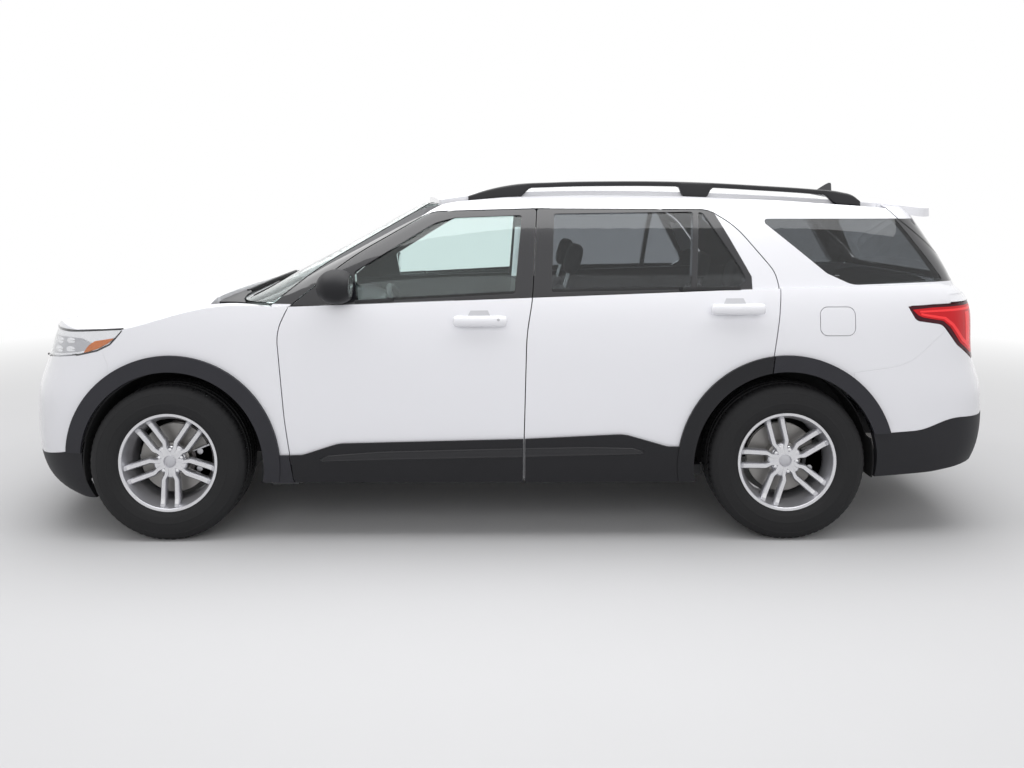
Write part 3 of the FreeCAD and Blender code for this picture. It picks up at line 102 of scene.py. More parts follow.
class WheelSettings(bpy.types.PropertyGroup):
    lip_radius: length_prop("Lip radius", "Radius of the rim's outer lip", 0.242)
    face: length_prop("Face", "Distance from the wheel's middle to the rim's lip", 0.107)
    spoke_width: length_prop("Spoke width", "Width of one spoke at its root", 0.03)
    spoke_apart: length_prop("Spoke spacing", "Half the distance between the two spokes of a pair", 0.031)
    stud_circle: length_prop("Stud circle", "Radius of the circle that the wheel nuts stand on", 0.057)
    alloy: colour_prop("Alloy", "Colour of the painted alloy", (0.52, 0.52, 0.55))
    rubber: colour_prop("Rubber", "Colour of the tyres", (0.012, 0.012, 0.013))


class CabinSettings(bpy.types.PropertyGroup):
    cloth: colour_prop("Seat cover", "Colour of the seats", (0.075, 0.075, 0.082))
    plastic: colour_prop("Cabin plastic", "Colour of the dashboard and door linings", (0.05, 0.052, 0.057))


class StageSettings(bpy.types.PropertyGroup):
    floor: colour_prop("Floor", "Colour of the plain floor", (0.6, 0.6, 0.61))
    key_power: power_prop("Key lamp", "Power of the overhead soft light", 330.0)
    fill_power: power_prop("Fill lamp", "Power of the soft light by the camera", 150.0)
    daylight: bpy.props.FloatProperty(name="Surroundings", description="Strength of the light from all round",
                                      default=0.42)


GROUPS = {"suv_body": BodySettings, "suv_wheels": WheelSettings, "suv_cabin": CabinSettings,
          "suv_stage": StageSettings}


# Shader maths

class Socket:
    """A node's output that takes Python arithmetic, each operation adding its Math node."""

    def __init__(self, graph, socket):
        self.graph = graph
        self.socket = socket

    def math(self, operation, *values):
        return self.graph.node("ShaderNodeMath", {"operation": operation}, dict(enumerate(values)))

    def __add__(self, other):
        return self.math("ADD", self, other)

    def __radd__(self, other):
        return self.math("ADD", other, self)

    def __sub__(self, other):
        return self.math("SUBTRACT", self, other)

    def __rsub__(self, other):
        return self.math("SUBTRACT", other, self)

    def __mul__(self, other):
        return self.math("MULTIPLY", self, other)

    def __rmul__(self, other):
        return self.math("MULTIPLY", other, self)

    def __gt__(self, other):
        return self.math("GREATER_THAN", self, other)

    def __lt__(self, other):
        return self.math("LESS_THAN", self, other)

    def __abs__(self):
        return self.math("ABSOLUTE", self)

    def least(self, other):
        return self.math("MINIMUM", self, other)

    def most(self, other):
        return self.math("MAXIMUM", self, other)


class Graph:
    """The nodes of one material or world."""

    def __init__(self, owner):
        self.owner = owner
        owner.use_nodes = True
        self.tree = owner.node_tree
        self.tree.nodes.clear()

    def node(self, kind, settings=None, inputs=None, output=0):
        """Adds a node, sets its own settings first and then feeds its sockets."""
        node = self.tree.nodes.new(kind)
        for key, value in (settings or {}).items():
            setattr(node, key, value)
        for key, value in (inputs or {}).items():
            self.feed(node.inputs[key], value)
        return Socket(self, node.outputs[output]) if node.outputs else None

    def feed(self, target, value):
        if isinstance(value, Socket):
            self.tree.links.new(value.socket, target)
        elif isinstance(value, (tuple, list)) and len(value) == 3 and target.type == "RGBA":
            target.default_value = (*value, 1.0)
        else:
            target.default_value = value

    def point(self):
        return self.node("ShaderNodeTexCoord", output="Object")

    def place(self):
        """Object coordinates, whole and as three numbers."""
        point = self.point()
        return point, *(self.node("ShaderNodeSeparateXYZ", inputs={0: point}, output=i) for i in range(3))

    def noise(self, scale, detail, point):
        inputs = {"Scale": scale, "Detail": detail, "Vector": point}
        return self.node("ShaderNodeTexNoise", inputs=inputs, output="Fac")

    def wave(self, direction, scale, distortion, point):
        return self.node("ShaderNodeTexWave", {"bands_direction": direction},
                         {"Vector": point, "Scale": scale, "Distortion": distortion})

    def mix(self, share, first, second):
        """Colour between two colours."""
        return self.node("ShaderNodeMix", {"data_type": "RGBA"}, {0: share, 6: first, 7: second}, output=2)

    def bump(self, height, strength, distance):
        inputs = {"Height": height, "Strength": strength, "Distance": distance}
        return self.node("ShaderNodeBump", inputs=inputs)

    def ray(self, kind):
        return self.node("ShaderNodeLightPath", output=f"Is {kind} Ray")

    def seen(self):
        """1 for what the camera sees, straight, in a reflection or through glass."""
        return self.ray("Camera").most(self.ray("Glossy")).most(self.ray("Transmission"))

    def finish(self, **sockets):
        """Ends the material in one Principled shader."""
        inputs = {key.replace("_", " "): value for key, value in sockets.items()}
        shader = self.node("ShaderNodeBsdfPrincipled", inputs=inputs)
        self.node("ShaderNodeOutputMaterial", inputs={"Surface": shader})
        return self.owner


def shade(colour, share):
    """Colour made darker or lighter by a share."""
    return tuple(min(1.0, part * share) for part in colour)


# Materials. Places on the body where a finish changes, and the arch edges, where gloss black is painted shade

COVER_LOW, COVER_HALF = 1.12, 0.945
# Arch edges closer than ARCH_EDGE to an arch's middle take gloss black as painted shade between flare and
# lining
ARCH_EDGE = 0.47
A_PILLAR_X, A_PILLAR_Z, A_PILLAR_LEAN, A_PILLAR_FOOT = -0.405, 1.62, 0.55, 1.158
D_PILLAR_X, D_PILLAR_FOOT, D_PILLAR_TOP = 1.95, 1.2615, 1.5745
GATE_TOP = 1.5735
BELT_X, BELT_Z, BELT_RISE = -0.9, 1.1545, 0.0361
FRAME_END, FRAME_END_Z, FRAME_END_LEAN = 1.215, 1.29, 0.5
SHOULDER_HALF = 0.965
GLASS_HALF, GLASS_Z, GLASS_FALL = 0.93, 1.2, 0.42
ROOF_HALF, ROOF_Z, ROOF_FALL = 0.759, 1.6, 0.92
LINING_END = 1.9


def arch_edge_shade(x, z):
    """Edges of the wheel arch openings, less than ARCH_EDGE from either arch's middle, where gloss black is
    painted shade between flare and lining.
    """
    rise = (z - ARCH_Z) * (z - ARCH_Z)
    front, rear = ((x - middle) * (x - middle) + rise for middle in ARCHES.values())
    return front.least(rear) < ARCH_EDGE ** 2


def pillars(x, z):
    front = (x < A_PILLAR_X + A_PILLAR_LEAN * (z - A_PILLAR_Z)) * (z > A_PILLAR_FOOT)
    rear = (x > D_PILLAR_X) * (z > D_PILLAR_FOOT) * (z < D_PILLAR_TOP)
    # The pillar covers are real gloss black; at the arch edges the gloss black is painted shade
    return front + rear + arch_edge_shade(x, z)


def belt(x):
    return BELT_Z + BELT_RISE * (x - BELT_X)


def front_frame(x, z):
    return z > belt(x)


def rear_frame(x, z):
    end = FRAME_END + FRAME_END_LEAN * (FRAME_END_Z - z).least(0.0)
    # The gloss black frame above the belt is real; at the arch edge the gloss black is painted shade
    return (z > belt(x)) * (x < end) + arch_edge_shade(x, z)


def gate_band(x, z):
    return (z > D_PILLAR_FOOT) * (z < GATE_TOP)


def grained(name, colour, roughness, scale, grain, spread=0.15, **more):
    """Plastic, leather or rubber: colour drifts softly and a fine grain breaks the gloss."""
    graph = Graph(bpy.data.materials.new(name))
    point = graph.point()
    cloud = graph.noise(6.0, 4.0, point)
    fine = graph.noise(scale, 2.0, point)
    base = graph.mix(cloud, shade(colour, 1 - spread), shade(colour, 1 + spread))
    return graph.finish(Base_Color=base, Roughness=roughness + 0.12 * (fine - 0.5),
                        Normal=graph.bump(fine, grain, 0.0006), **more)


def covered(name, colour, gloss):
    """Moulded trim below the windows, which turns to gloss-black covers beside them."""
    graph = Graph(bpy.data.materials.new(name))
    point, x, y, z = graph.place()
    fine = graph.noise(1500.0, 2.0, point)
    cloud = graph.noise(6.0, 4.0, point)
    cover = (z > COVER_LOW) * (abs(y) < COVER_HALF)
    low = graph.mix(cloud, shade(colour, 0.85), shade(colour, 1.2))
    rough = 0.54 + 0.1 * (fine - 0.5) - 0.34 * cover
    return graph.finish(Base_Color=graph.mix(cover, low, gloss), Roughness=rough, Coat_Weight=0.9 * cover,
                        Coat_Roughness=0.03, Specular_IOR_Level=0.35, Normal=graph.bump(fine, 0.2, 0.0005))


def paint(name, colour, gloss=None, blacks=None, lining=None, depth=0.0):
    """Clear-coated paint, gloss black where blacks is 1 (real on the covers, painted shade at the arch edges),
    with a lining colour deeper than depth.
    """
    graph = Graph(bpy.data.materials.new(name))
    point, x, y, z = graph.place()
    wave = graph.noise(2.0, 1.0, point)
    peel = graph.noise(700.0, 2.0, point)
    base = graph.mix(wave, shade(colour, 0.99), colour)
    rough = 0.25 + 0.02 * wave
    coat = 1.0
    if blacks:
        share = blacks(x, z)
        base = graph.mix(share, base, gloss)
        rough = rough - 0.12 * share
    if lining:
        half = (GLASS_HALF - GLASS_FALL * (z - GLASS_Z)).least(SHOULDER_HALF)
        half = half.least(ROOF_HALF - ROOF_FALL * (z - ROOF_Z))
        inside = (abs(y) < half - depth) * (x < LINING_END)
        grain = graph.noise(420.0, 2.0, point)
        base = graph.mix(inside, base, graph.mix(grain, shade(lining, 0.8), lining))
        rough = rough + 0.35 * inside
        coat = 1.0 - inside
    return graph.finish(Base_Color=base, Roughness=rough, Coat_Weight=coat, Coat_Roughness=0.03,
                        Normal=graph.bump(peel, 0.03, 0.0002))


def glazing(name, tint):
    """Tinted safety glass whose tint drifts a little."""
    graph = Graph(bpy.data.materials.new(name))
    haze = graph.noise(9.0, 4.0, graph.point())
    base = graph.mix(haze, shade(tint, 0.97), tint)
    return graph.finish(Base_Color=base, Roughness=0.0, IOR=1.45, Transmission_Weight=1.0)


def metal(name, colour, roughness, metallic=1.0, scale=60.0, coat=0.0):
    """Cast, brushed or plated metal with a slow change of gloss."""
    graph = Graph(bpy.data.materials.new(name))
    cloud = graph.noise(scale, 3.0, graph.point())
    base = graph.mix(cloud, shade(colour, 0.93), colour)
    return graph.finish(Base_Color=base, Roughness=roughness + 0.08 * (cloud - 0.5), Metallic=metallic,
                        Coat_Weight=coat, Normal=graph.bump(cloud, 0.03, 0.0005))


def ribbed_lens(name, colour, scale, glow=0.0):
    """Coloured lamp plastic with fine upright flutes behind its gloss."""
    graph = Graph(bpy.data.materials.new(name))
    flutes = graph.wave("X", scale, 0.0, graph.point())
    base = graph.mix(flutes, shade(colour, 0.82), colour)
    return graph.finish(Base_Color=base, Roughness=0.25, Coat_Weight=0.12, Coat_Roughness=0.03,
                        Specular_IOR_Level=0.2, Emission_Color=base, Emission_Strength=glow,
                        Normal=graph.bump(flutes, 0.15, 0.001))


def woven(name, colour, scale):
    """Cloth: two crossed waves make the weave, with soft changes of shade."""
    graph = Graph(bpy.data.materials.new(name))
    point = graph.point()
    yarn = graph.wave("X", scale, 0.6, point).most(graph.wave("Z", scale, 0.6, point))
    cloud = graph.noise(5.0, 3.0, point)
    base = graph.mix(yarn * 0.6 + cloud * 0.4, shade(colour, 0.72), shade(colour, 1.2))
    return graph.finish(Base_Color=base, Roughness=0.82, Sheen_Weight=0.15,
                        Normal=graph.bump(yarn, 0.35, 0.0008))


MATERIALS = {}


def make_materials(scene):
    """All finishes of the car, by name."""
    body, wheels, cabin = scene.suv_body, scene.suv_wheels, scene.suv_cabin
    white, trim, gloss, plastic = (tuple(c) for c in (body.paint, body.trim, body.gloss, cabin.plastic))
    alloy, rubber, cloth = (tuple(c) for c in (wheels.alloy, wheels.rubber, cabin.cloth))
    clear, dark = tuple(body.clear_tint), tuple(body.dark_tint)
    MATERIALS.update({
        # Body paint with gloss black at the arch edges as painted shade
        "paint": paint("body_paint", white, gloss, arch_edge_shade),
        "side": paint("side_paint", white, gloss, pillars, plastic, 0.045),
        "door": paint("front_door_paint", white, gloss, front_frame, plastic, 0.05),
        "rear_door": paint("rear_door_paint", white, gloss, rear_frame, plastic, 0.05),
        "gate": paint("gate_paint", white, gloss, gate_band),
        # Handle cups: paint darkened to 0.7 as painted shade of finger pockets that the door skin lacks
        "cup": paint("handle_cup_painted_shade", shade(white, 0.7)),
        # One moulded plastic in three shades, set to how bright each part looks: painted light on the arch
        # trim, painted shade on the valances and door cladding
        "trim": covered("moulded_trim_painted_light", shade(trim, 1.25), gloss),
        "valance": covered("valance_trim_painted_shade", shade(trim, 0.7), gloss),
        "door_trim_painted_shade": covered("door_trim_painted_shade", shade(trim, 0.5), gloss),
        "satin": grained("satin_black", shade(trim, 0.55), 0.34, 900.0, 0.08),
        "gloss": grained("gloss_black", gloss, 0.14, 300.0, 0.0, Coat_Weight=1.0, Coat_Roughness=0.02),
        "dull": grained("dull_black", (0.014, 0.014, 0.015), 0.8, 600.0, 0.3),
        "frame": grained("chassis_black", (0.028, 0.028, 0.03), 0.6, 400.0, 0.3),
        "plastic": grained("cabin_plastic", plastic, 0.55, 1200.0, 0.3),
        "rubber": grained("tyre_rubber", rubber, 0.62, 700.0, 0.2, Specular_IOR_Level=0.3),
        "plate": grained("blank_plate", (0.72, 0.72, 0.7), 0.4, 300.0, 0.1, 0.04),
        "cloth": woven("seat_cover", cloth, 260.0),
        "clear": glazing("front_glass", clear),
        "dark": glazing("privacy_glass", dark),
        "quarter": glazing("quarter_privacy_glass", shade(dark, 0.78)),
        "lens": glazing("lamp_lens", (0.97, 0.975, 0.98)),
        "amber": ribbed_lens("amber_reflector", (0.8, 0.22, 0.04), 160.0),
        "red": ribbed_lens("red_lens", (0.58, 0.01, 0.016), 110.0, 0.12),
        "red_bright": ribbed_lens("red_light_band", (0.88, 0.045, 0.05), 240.0, 0.25),
        "red_dark": ribbed_lens("red_border", (0.055, 0.003, 0.009), 60.0),
        "mirror": metal("mirror_glass", (0.85, 0.86, 0.87), 0.03, scale=5.0),
        "chrome": metal("plated_trim", (0.8, 0.8, 0.82), 0.08, scale=20.0),
        "alloy": metal("painted_alloy", alloy, 0.3, 0.75, 45.0, 0.6),
        "bright": metal("bright_alloy", (0.74, 0.74, 0.76), 0.2, 0.9, 40.0, 0.8),
        "caliper": metal("caliper_casting", (0.5, 0.5, 0.52), 0.42, 0.7, 120.0),
        "steel": metal("pipe_steel", (0.33, 0.32, 0.31), 0.45, 0.9, 80.0),
        "iron": metal("cast_iron", (0.11, 0.1, 0.1), 0.62, 0.6, 160.0),
    })


# Mesh maths

def mesh_grid(rows, columns):
    return np.meshgrid(np.linspace(0, 1, rows), np.linspace(0, 1, columns), indexing="ij")


def full_turn(count):
    return np.linspace(0, 2 * math.pi, count, endpoint=False)


def ramp(value, low, high):
    """Smooth step from 0 at low to 1 at high: 3 s^2 - 2 s^3."""
    share = np.clip((value - low) / (high - low), 0, 1)
    return share * share * (3 - 2 * share)


def curve_at(table, x):
    """Straight-line value of a table of (x, value) pairs at x."""
    xs, values = np.array(table).T
    return np.interp(x, xs, values)


def smooth_at(table, x):
    """Smooth value of a table at x: a cubic between neighbours, with each slope taken from both sides."""
    xs, values = np.array(table).T
    slope = np.gradient(values, xs)
    i = np.clip(np.searchsorted(xs, x) - 1, 0, len(xs) - 2)
    wide = xs[i + 1] - xs[i]
    t = (x - xs[i]) / wide
    return ((2 * t ** 3 - 3 * t ** 2 + 1) * values[i] + (t ** 3 - 2 * t ** 2 + t) * wide * slope[i]
            + (3 * t ** 2 - 2 * t ** 3) * values[i + 1] + (t ** 3 - t ** 2) * wide * slope[i + 1])


def grid_faces(rows, columns, round_rows=False, round_columns=False):
    """Quads between neighbouring points of a grid whose points run row by row."""
    first = np.arange(rows if round_rows else rows - 1)
    second = np.arange(columns if round_columns else columns - 1)
    a, b = (m.ravel() for m in np.meshgrid(first, second, indexing="ij"))
    c, d = (a + 1) % rows, (b + 1) % columns
    return np.stack([a * columns + b, a * columns + d, c * columns + d, c * columns + b], -1)


def stacked(parts):
    """One set of points and faces from several (points, faces)."""
    points, faces, start = [], [], 0
    for some, quads in parts:
        points.append(some.reshape(-1, 3))
        faces.append(quads + start)
        start += len(points[-1])
    return np.concatenate(points), np.concatenate(faces)


def slab(outer, inner):
    """Closed sheet between two grids of the same size, joined round their rims."""
    rows, columns = outer.shape[:2]
    count = rows * columns
    top = grid_faces(rows, columns)
    index = np.arange(count).reshape(rows, columns)
    rim = np.concatenate([index[0], index[1:, -1], index[-1, -2::-1], index[-2:0:-1, 0]])
    following = np.roll(rim, -1)
    wall = np.stack([rim, rim + count, following + count, following], -1)
    points = np.concatenate([outer.reshape(-1, 3), inner.reshape(-1, 3)])
    return points, np.concatenate([top[:, ::-1], top + count, wall])


def sheet(outer, x=0.0, y=0.0, z=0.0):
    """Closed sheet from a grid and the same grid moved by (x, y, z)."""
    return slab(outer, outer + np.array([x, y, z]))


def capped(rings, closed=False):
    """Rings (m, n, 3) joined side by side, in a loop or with a fan over each open end."""
    m, n = rings.shape[:2]
    faces = grid_faces(m, n, closed, True)
    if closed:
        return rings.reshape(-1, 3), faces
    ends = np.stack([rings[0].mean(0), rings[-1].mean(0)])
    points = np.concatenate([rings.reshape(-1, 3), ends])
    i = np.arange(n)
    j = (i + 1) % n
    low = np.stack([i, j, np.full(n, m * n), np.full(n, m * n)], -1)
    high = np.stack([(m - 1) * n + j, (m - 1) * n + i, np.full(n, m * n + 1), np.full(n, m * n + 1)], -1)
    return points, np.concatenate([faces, low, high])


def tube(path, section):
    """Section (n, 2) carried along an open path (m, 3), upright to each step and closed at its ends."""
    path, section = np.asarray(path, float), np.asarray(section, float)
    ahead = np.gradient(path, axis=0)
    ahead /= np.linalg.norm(ahead, axis=1, keepdims=True)
    up = np.where(np.abs(ahead[:, 2:]) > 0.95, [[1.0, 0.0, 0.0]], [[0.0, 0.0, 1.0]])
    across = np.cross(up, ahead)
    across /= np.linalg.norm(across, axis=1, keepdims=True)
    rise = np.cross(ahead, across)
    return capped(path[:, None] + across[:, None] * section[None, :, :1] + rise[:, None] * section[None, :, 1:])


def circle(radius, count):
    turn = full_turn(count)
    return np.stack([np.cos(turn) * radius, np.sin(turn) * radius], -1)


def rounded(width, height, radius):
    """Section of a bar with rounded corners, as points (across, up)."""
    turn = np.linspace(0, math.pi / 2, 5)
    corner = np.stack([np.cos(turn), np.sin(turn)], -1) * radius
    w, h = width / 2 - radius, height / 2 - radius
    rings = []
    for quarter, (sx, sz) in enumerate(((1, 1), (-1, 1), (-1, -1), (1, -1))):
        c, s = math.cos(quarter * math.pi / 2), math.sin(quarter * math.pi / 2)
        rings.append(np.stack([c * corner[:, 0] - s * corner[:, 1] + sx * w,
                               s * corner[:, 0] + c * corner[:, 1] + sz * h], -1))
    return np.concatenate(rings)


def lathe(profile, segments):
    """Ring of a closed profile round the wheel's axis: x = r cos a, y = -outboard, z = r sin a."""
    profile = np.asarray(profile, float)
    turn = full_turn(segments)
    out, radius = profile[:, 0], profile[:, 1]
    points = np.stack([np.cos(turn)[:, None] * radius, np.broadcast_to(-out, (segments, len(out))),
                       np.sin(turn)[:, None] * radius], -1)
    return points.reshape(-1, 3), grid_faces(segments, len(profile), True, True)


def on_right(parts):
    """The same parts mirrored to the car's right."""
    return [(points * np.array([1.0, -1.0, 1.0]), faces) for points, faces in parts]


def make(name, parts, material, body, replaces=(), slot=None, angle=35.0, outward=None):
    """Closed piece from (points, faces) parts: merged, faces outwards, smooth up to an angle, riding on a body.

    The material in outward is given to the faces that look straight out of the car's side.
    """
    points, faces = stacked(parts)
    mesh = bpy.data.meshes.new(name)
    mesh.from_pydata(points.tolist(), [], [list(dict.fromkeys(face)) for face in faces.tolist()])
    shell = bmesh.new()
    shell.from_mesh(mesh)
    bmesh.ops.remove_doubles(shell, verts=shell.verts, dist=2e-5)
    bmesh.ops.dissolve_degenerate(shell, edges=shell.edges, dist=1e-6)
    bmesh.ops.recalc_face_normals(shell, faces=shell.faces)
    shell.to_mesh(mesh)
    shell.free()
    mesh.polygons.foreach_set("use_smooth", np.ones(len(mesh.polygons), bool))
    mesh.set_sharp_from_angle(angle=math.radians(angle))
    mesh.materials.append(MATERIALS[material])
    if outward:
        mesh.materials.append(MATERIALS[outward])
        normals, centres = (np.empty(len(mesh.polygons) * 3, np.float32) for _ in range(2))
        mesh.polygons.foreach_get("normal", normals)
        mesh.polygons.foreach_get("center", centres)
        facing = normals.reshape(-1, 3)[:, 1] * np.sign(centres.reshape(-1, 3)[:, 1]) > 0.93
        mesh.polygons.foreach_set("material_index", facing.astype(np.int32))
    piece = bpy.data.objects.new(name, mesh)
    bpy.context.scene.collection.objects.link(piece)
    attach(piece, body)
    if replaces:
        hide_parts(*replaces)
    return piece


def both_sides(name, parts, material, body, replaces=(), **more):
    """The same piece on the left and, mirrored, on the right."""
    make(f"{name}_left", parts, material, body.format(side="left"), replaces, **more)
    make(f"{name}_right", on_right(parts), material, body.format(side="right"), (), **more)


def laid(node, points, axis):
    """Points (n, 3) carried onto a CAD node: along y from outside the car's left, or along z from above."""
    flat = bpy.data.meshes.new("probe")
    flat.from_pydata(points.tolist(), [], [])
    probe = bpy.data.objects.new("probe", flat)
    bpy.context.scene.collection.objects.link(probe)
    wrap = probe.modifiers.new("wrap", "SHRINKWRAP")
    wrap.target = NODES[node]
    wrap.wrap_method = "PROJECT"
    wrap.use_project_y = wrap.use_positive_direction = axis == 1
    wrap.use_project_z = wrap.use_negative_direction = axis == 2
    bpy.context.view_layer.update()
    wrapped = probe.evaluated_get(bpy.context.evaluated_depsgraph_get())
    found = np.empty(len(points) * 3, np.float32)
    wrapped.to_mesh().vertices.foreach_get("co", found)
    value = found.reshape(-1, 3)[:, axis].astype(float)
    missed = np.abs(value - points[:, axis]) < 1e-4
    if missed.any() and not missed.all():
        order = np.arange(value.size)
        value[missed] = np.interp(order[missed], order[~missed], value[~missed])
    wrapped.to_mesh_clear()
    bpy.data.objects.remove(probe)
    bpy.data.meshes.remove(flat)
    return value


OUTSIDE = 0.3


def skin_y(node, x, z):
    """Outer face of a CAD node on the car's left: y at each (x, z)."""
    points = np.stack([x.ravel(), np.full(x.size, CAD_BOX[0][1] - OUTSIDE), z.ravel()], -1)
    return laid(node, points, 1).reshape(x.shape)


def skin_z(node, x, y):
    """Top face of a CAD node: z at each (x, y)."""
    points = np.stack([x.ravel(), y.ravel(), np.full(x.size, CAD_BOX[1][2] + OUTSIDE)], -1)
    return laid(node, points, 2).reshape(x.shape)


def points_at(x, y, z):
    """Grid of points from three coordinates whose shapes fit together."""
    return np.stack(np.broadcast_arrays(x, y, z), -1)


def oval(turn, exponent):
    """Cosine and sine of a superellipse: each keeps its sign and is raised to the exponent."""
    return (np.sign(part) * np.abs(part) ** exponent for part in (np.cos(turn), np.sin(turn)))


# Wheels

RIM_TURNS = {"front": 270.0, "rear": 249.0}
NUT_TURNS = [math.radians(36 + 72 * i) for i in range(5)]
SPOKE_ROOT, SPOKE_GAP, SPOKE_END, SPOKE_LEAVES, SPOKE_APART = 0.03, 0.016, 0.01, 0.06, 0.095
HUB_RADIUS, HUB_LOBE, HUB_SEAT, HUB_DEPTH = 0.079, 0.006, 0.02, 0.03
POCKET_RADIUS, POCKET_EDGE, POCKET_DEPTH = 0.0145, 0.004, 0.019
HUB_BACK, NUT_DEPTH, CAP_DEPTH = 0.062, 0.054, 0.034
SPOKE_SECTION = np.array([(-0.5, -0.03), (-0.5, -0.009), (-0.4, -0.0035), (-0.3, 0.0), (0.3, 0.0),
                          (0.4, -0.0035), (0.5, -0.009), (0.5, -0.03), (0.3, -0.036), (-0.3, -0.036)])
RIM_OUTER = ((0.0, 0.001), (0.0, 0.004), (-0.001, 0.013), (-0.004, 0.016), (-0.012, 0.018), (-0.022, 0.024),
             (-0.045, 0.029), (-0.06, 0.037))
RIM_INNER = ((0.04, 0.041), (0.012, 0.026), (0.0, 0.01), (0.0, 0.001), (0.005, 0.0), (0.008, 0.012),
             (0.026, 0.0125), (0.046, 0.0305))
RIM_SEAT = ((-0.062, 0.0305), (-0.042, 0.0165), (-0.01, 0.013), (-0.007, 0.001), (-0.003, 0.0))
NUT_PROFILE = ((0.0, 0.0004), (0.0, 0.0132), (0.004, 0.0132), (0.006, 0.0105), (0.02, 0.0105),
               (0.0225, 0.0085), (0.0245, 0.0045), (0.025, 0.0004))
CAP_RING = ((0.007, 0.0275), (0.0085, 0.0285), (0.007, 0.0305), (0.0, 0.0315), (-0.012, 0.0315),
            (-0.012, 0.001))
DISC_PLATE = ((0.001, 0.075), (0.001, 0.171), (0.0, 0.172), (-0.007, 0.172), (-0.008, 0.168), (-0.016, 0.168),
              (-0.017, 0.172), (-0.024, 0.172), (-0.025, 0.171), (-0.025, 0.075))
DISC_HAT = ((0.045, 0.001), (0.045, 0.08), (0.043, 0.084), (-0.006, 0.084), (-0.006, 0.075), (0.038, 0.075),
            (0.038, 0.001))


def spoke(angle, side, settings):
    """One spoke: a bevelled section from the hub to the lip, which leaves the pair's axis by a smooth step."""
    reach = np.linspace(0, 1, 17)
    radius = SPOKE_ROOT + (settings.lip_radius - SPOKE_END - SPOKE_ROOT) * reach
    away = ramp(radius, SPOKE_LEAVES, SPOKE_APART)
    aside = SPOKE_GAP + (settings.spoke_apart - SPOKE_GAP) * away + 0.004 * reach
    crest = settings.face - HUB_DEPTH + 0.01 * reach ** 2 + 0.013 * np.clip((reach - 0.75) / 0.25, 0, 1) ** 2
    width = settings.spoke_width * (0.92 + 0.12 * reach)
    across = side * aside[:, None] + width[:, None] * SPOKE_SECTION[:, 0]
    out, along = crest[:, None] + SPOKE_SECTION[:, 1], radius[:, None]
    c, s = math.cos(angle), math.sin(angle)
    return capped(points_at(along * c - across * s, -out, along * s + across * c))


def hub(settings, turn):
    """Hub face: out(r, a) falls from the cap's seat to a five-lobed rim, with a pocket round each nut."""
    r, a = np.meshgrid(np.linspace(0, 1, 26), full_turn(180), indexing="ij")
    edge = HUB_RADIUS + HUB_LOBE * np.cos(5 * (a - turn))
    radius = HUB_SEAT + (edge - HUB_SEAT) * r
    face = settings.face - HUB_DEPTH - 0.004 * r ** 2 - 0.006 * np.clip((r - 0.86) / 0.14, 0, 1) ** 2
    for nut in NUT_TURNS:
        gap = np.hypot(radius * np.cos(a) - settings.stud_circle * math.cos(turn + nut),
                       radius * np.sin(a) - settings.stud_circle * math.sin(turn + nut))
        face = face - POCKET_DEPTH * (1 - np.clip((gap - POCKET_RADIUS) / POCKET_EDGE, 0, 1))
    top = points_at(radius * np.cos(a), -face, radius * np.sin(a))
    base = top.copy()
    base[..., 1] = -(settings.face - HUB_BACK)
    return capped(np.concatenate([top, base[::-1]]), True)


def rim_parts(settings, turn):
    """Barrel and lip by lathe, five pairs of spokes and the hub."""
    profile = [(end * settings.face + along, settings.lip_radius - below)
               for end, row in ((1, RIM_OUTER), (-1, RIM_INNER), (1, RIM_SEAT)) for along, below in row]
    spokes = [spoke(turn + math.radians(72 * i), side, settings) for i in range(5) for side in (-1.0, 1.0)]
    return [lathe(profile, 160), *spokes, hub(settings, turn)]


def nut_parts(settings, turn):
    """Wheel nuts: a six-sided shank, a washer face and a domed end, lathed with six segments."""
    points, faces = lathe(NUT_PROFILE, 6)
    ring, out = settings.stud_circle, settings.face - NUT_DEPTH
    return [(points + np.array([math.cos(turn + nut) * ring, -out, math.sin(turn + nut) * ring]), faces)
            for nut in NUT_TURNS]


def cap_parts(settings):
    """Blank centre cap: a shallow dome with a raised ring round it."""
    base = settings.face - CAP_DEPTH
    reach = np.linspace(0.001, 1.0, 12)
    dome = np.stack([base + 0.0085 - 0.0035 * reach ** 2, 0.0265 * reach], -1)
    return [lathe(np.concatenate([dome, np.array(CAP_RING) + [base, 0.0]]), 72)]


def disc_parts():
    """Vented brake disc with a raised hat, as two lathed rings."""
    return [lathe(DISC_PLATE, 96), lathe(DISC_HAT, 72)]


TYRE_SIDE = ((-0.099, 0.2294), (-0.1025, 0.238), (-0.1095, 0.25), (-0.1105, 0.2515), (-0.112, 0.252),
             (-0.116, 0.259), (-0.117, 0.26), (-0.119, 0.264), (-0.1228, 0.276), (-0.125, 0.288),
             (-0.1262, 0.2915), (-0.127, 0.2935), (-0.1262, 0.2955), (-0.1266, 0.304), (-0.1262, 0.318),
             (-0.1235, 0.336), (-0.1225, 0.342), (-0.1232, 0.344), (-0.1205, 0.35), (-0.115, 0.361),
             (-0.11, 0.369), (-0.104, 0.3755), (-0.096, 0.3805))
TYRE_HOLLOW = ((0.083, 0.2294), (0.086, 0.25), (0.11, 0.29), (0.111, 0.318), (0.093, 0.358), (0.067, 0.366))
TREAD_HALF, TREAD_RADIUS, TREAD_CROWN = 0.088, 0.3848, 0.0028
GROOVES = ((-0.06, 0.0052), (-0.021, 0.0046), (0.021, 0.0046), (0.06, 0.0052))
GROOVE_DEPTH, GROOVE_EDGE, LUG_DEPTH, SIPE_DEPTH, FLUTE_DEPTH = 0.0085, 0.0012, 0.0045, 0.005, 0.0006
FLUTE_LOW, FLUTE_HIGH, TREAD_LOW = 0.3425, 0.353, 0.355
TYRE_SEGMENTS, LUGS, FLUTES = 432, 72, 108


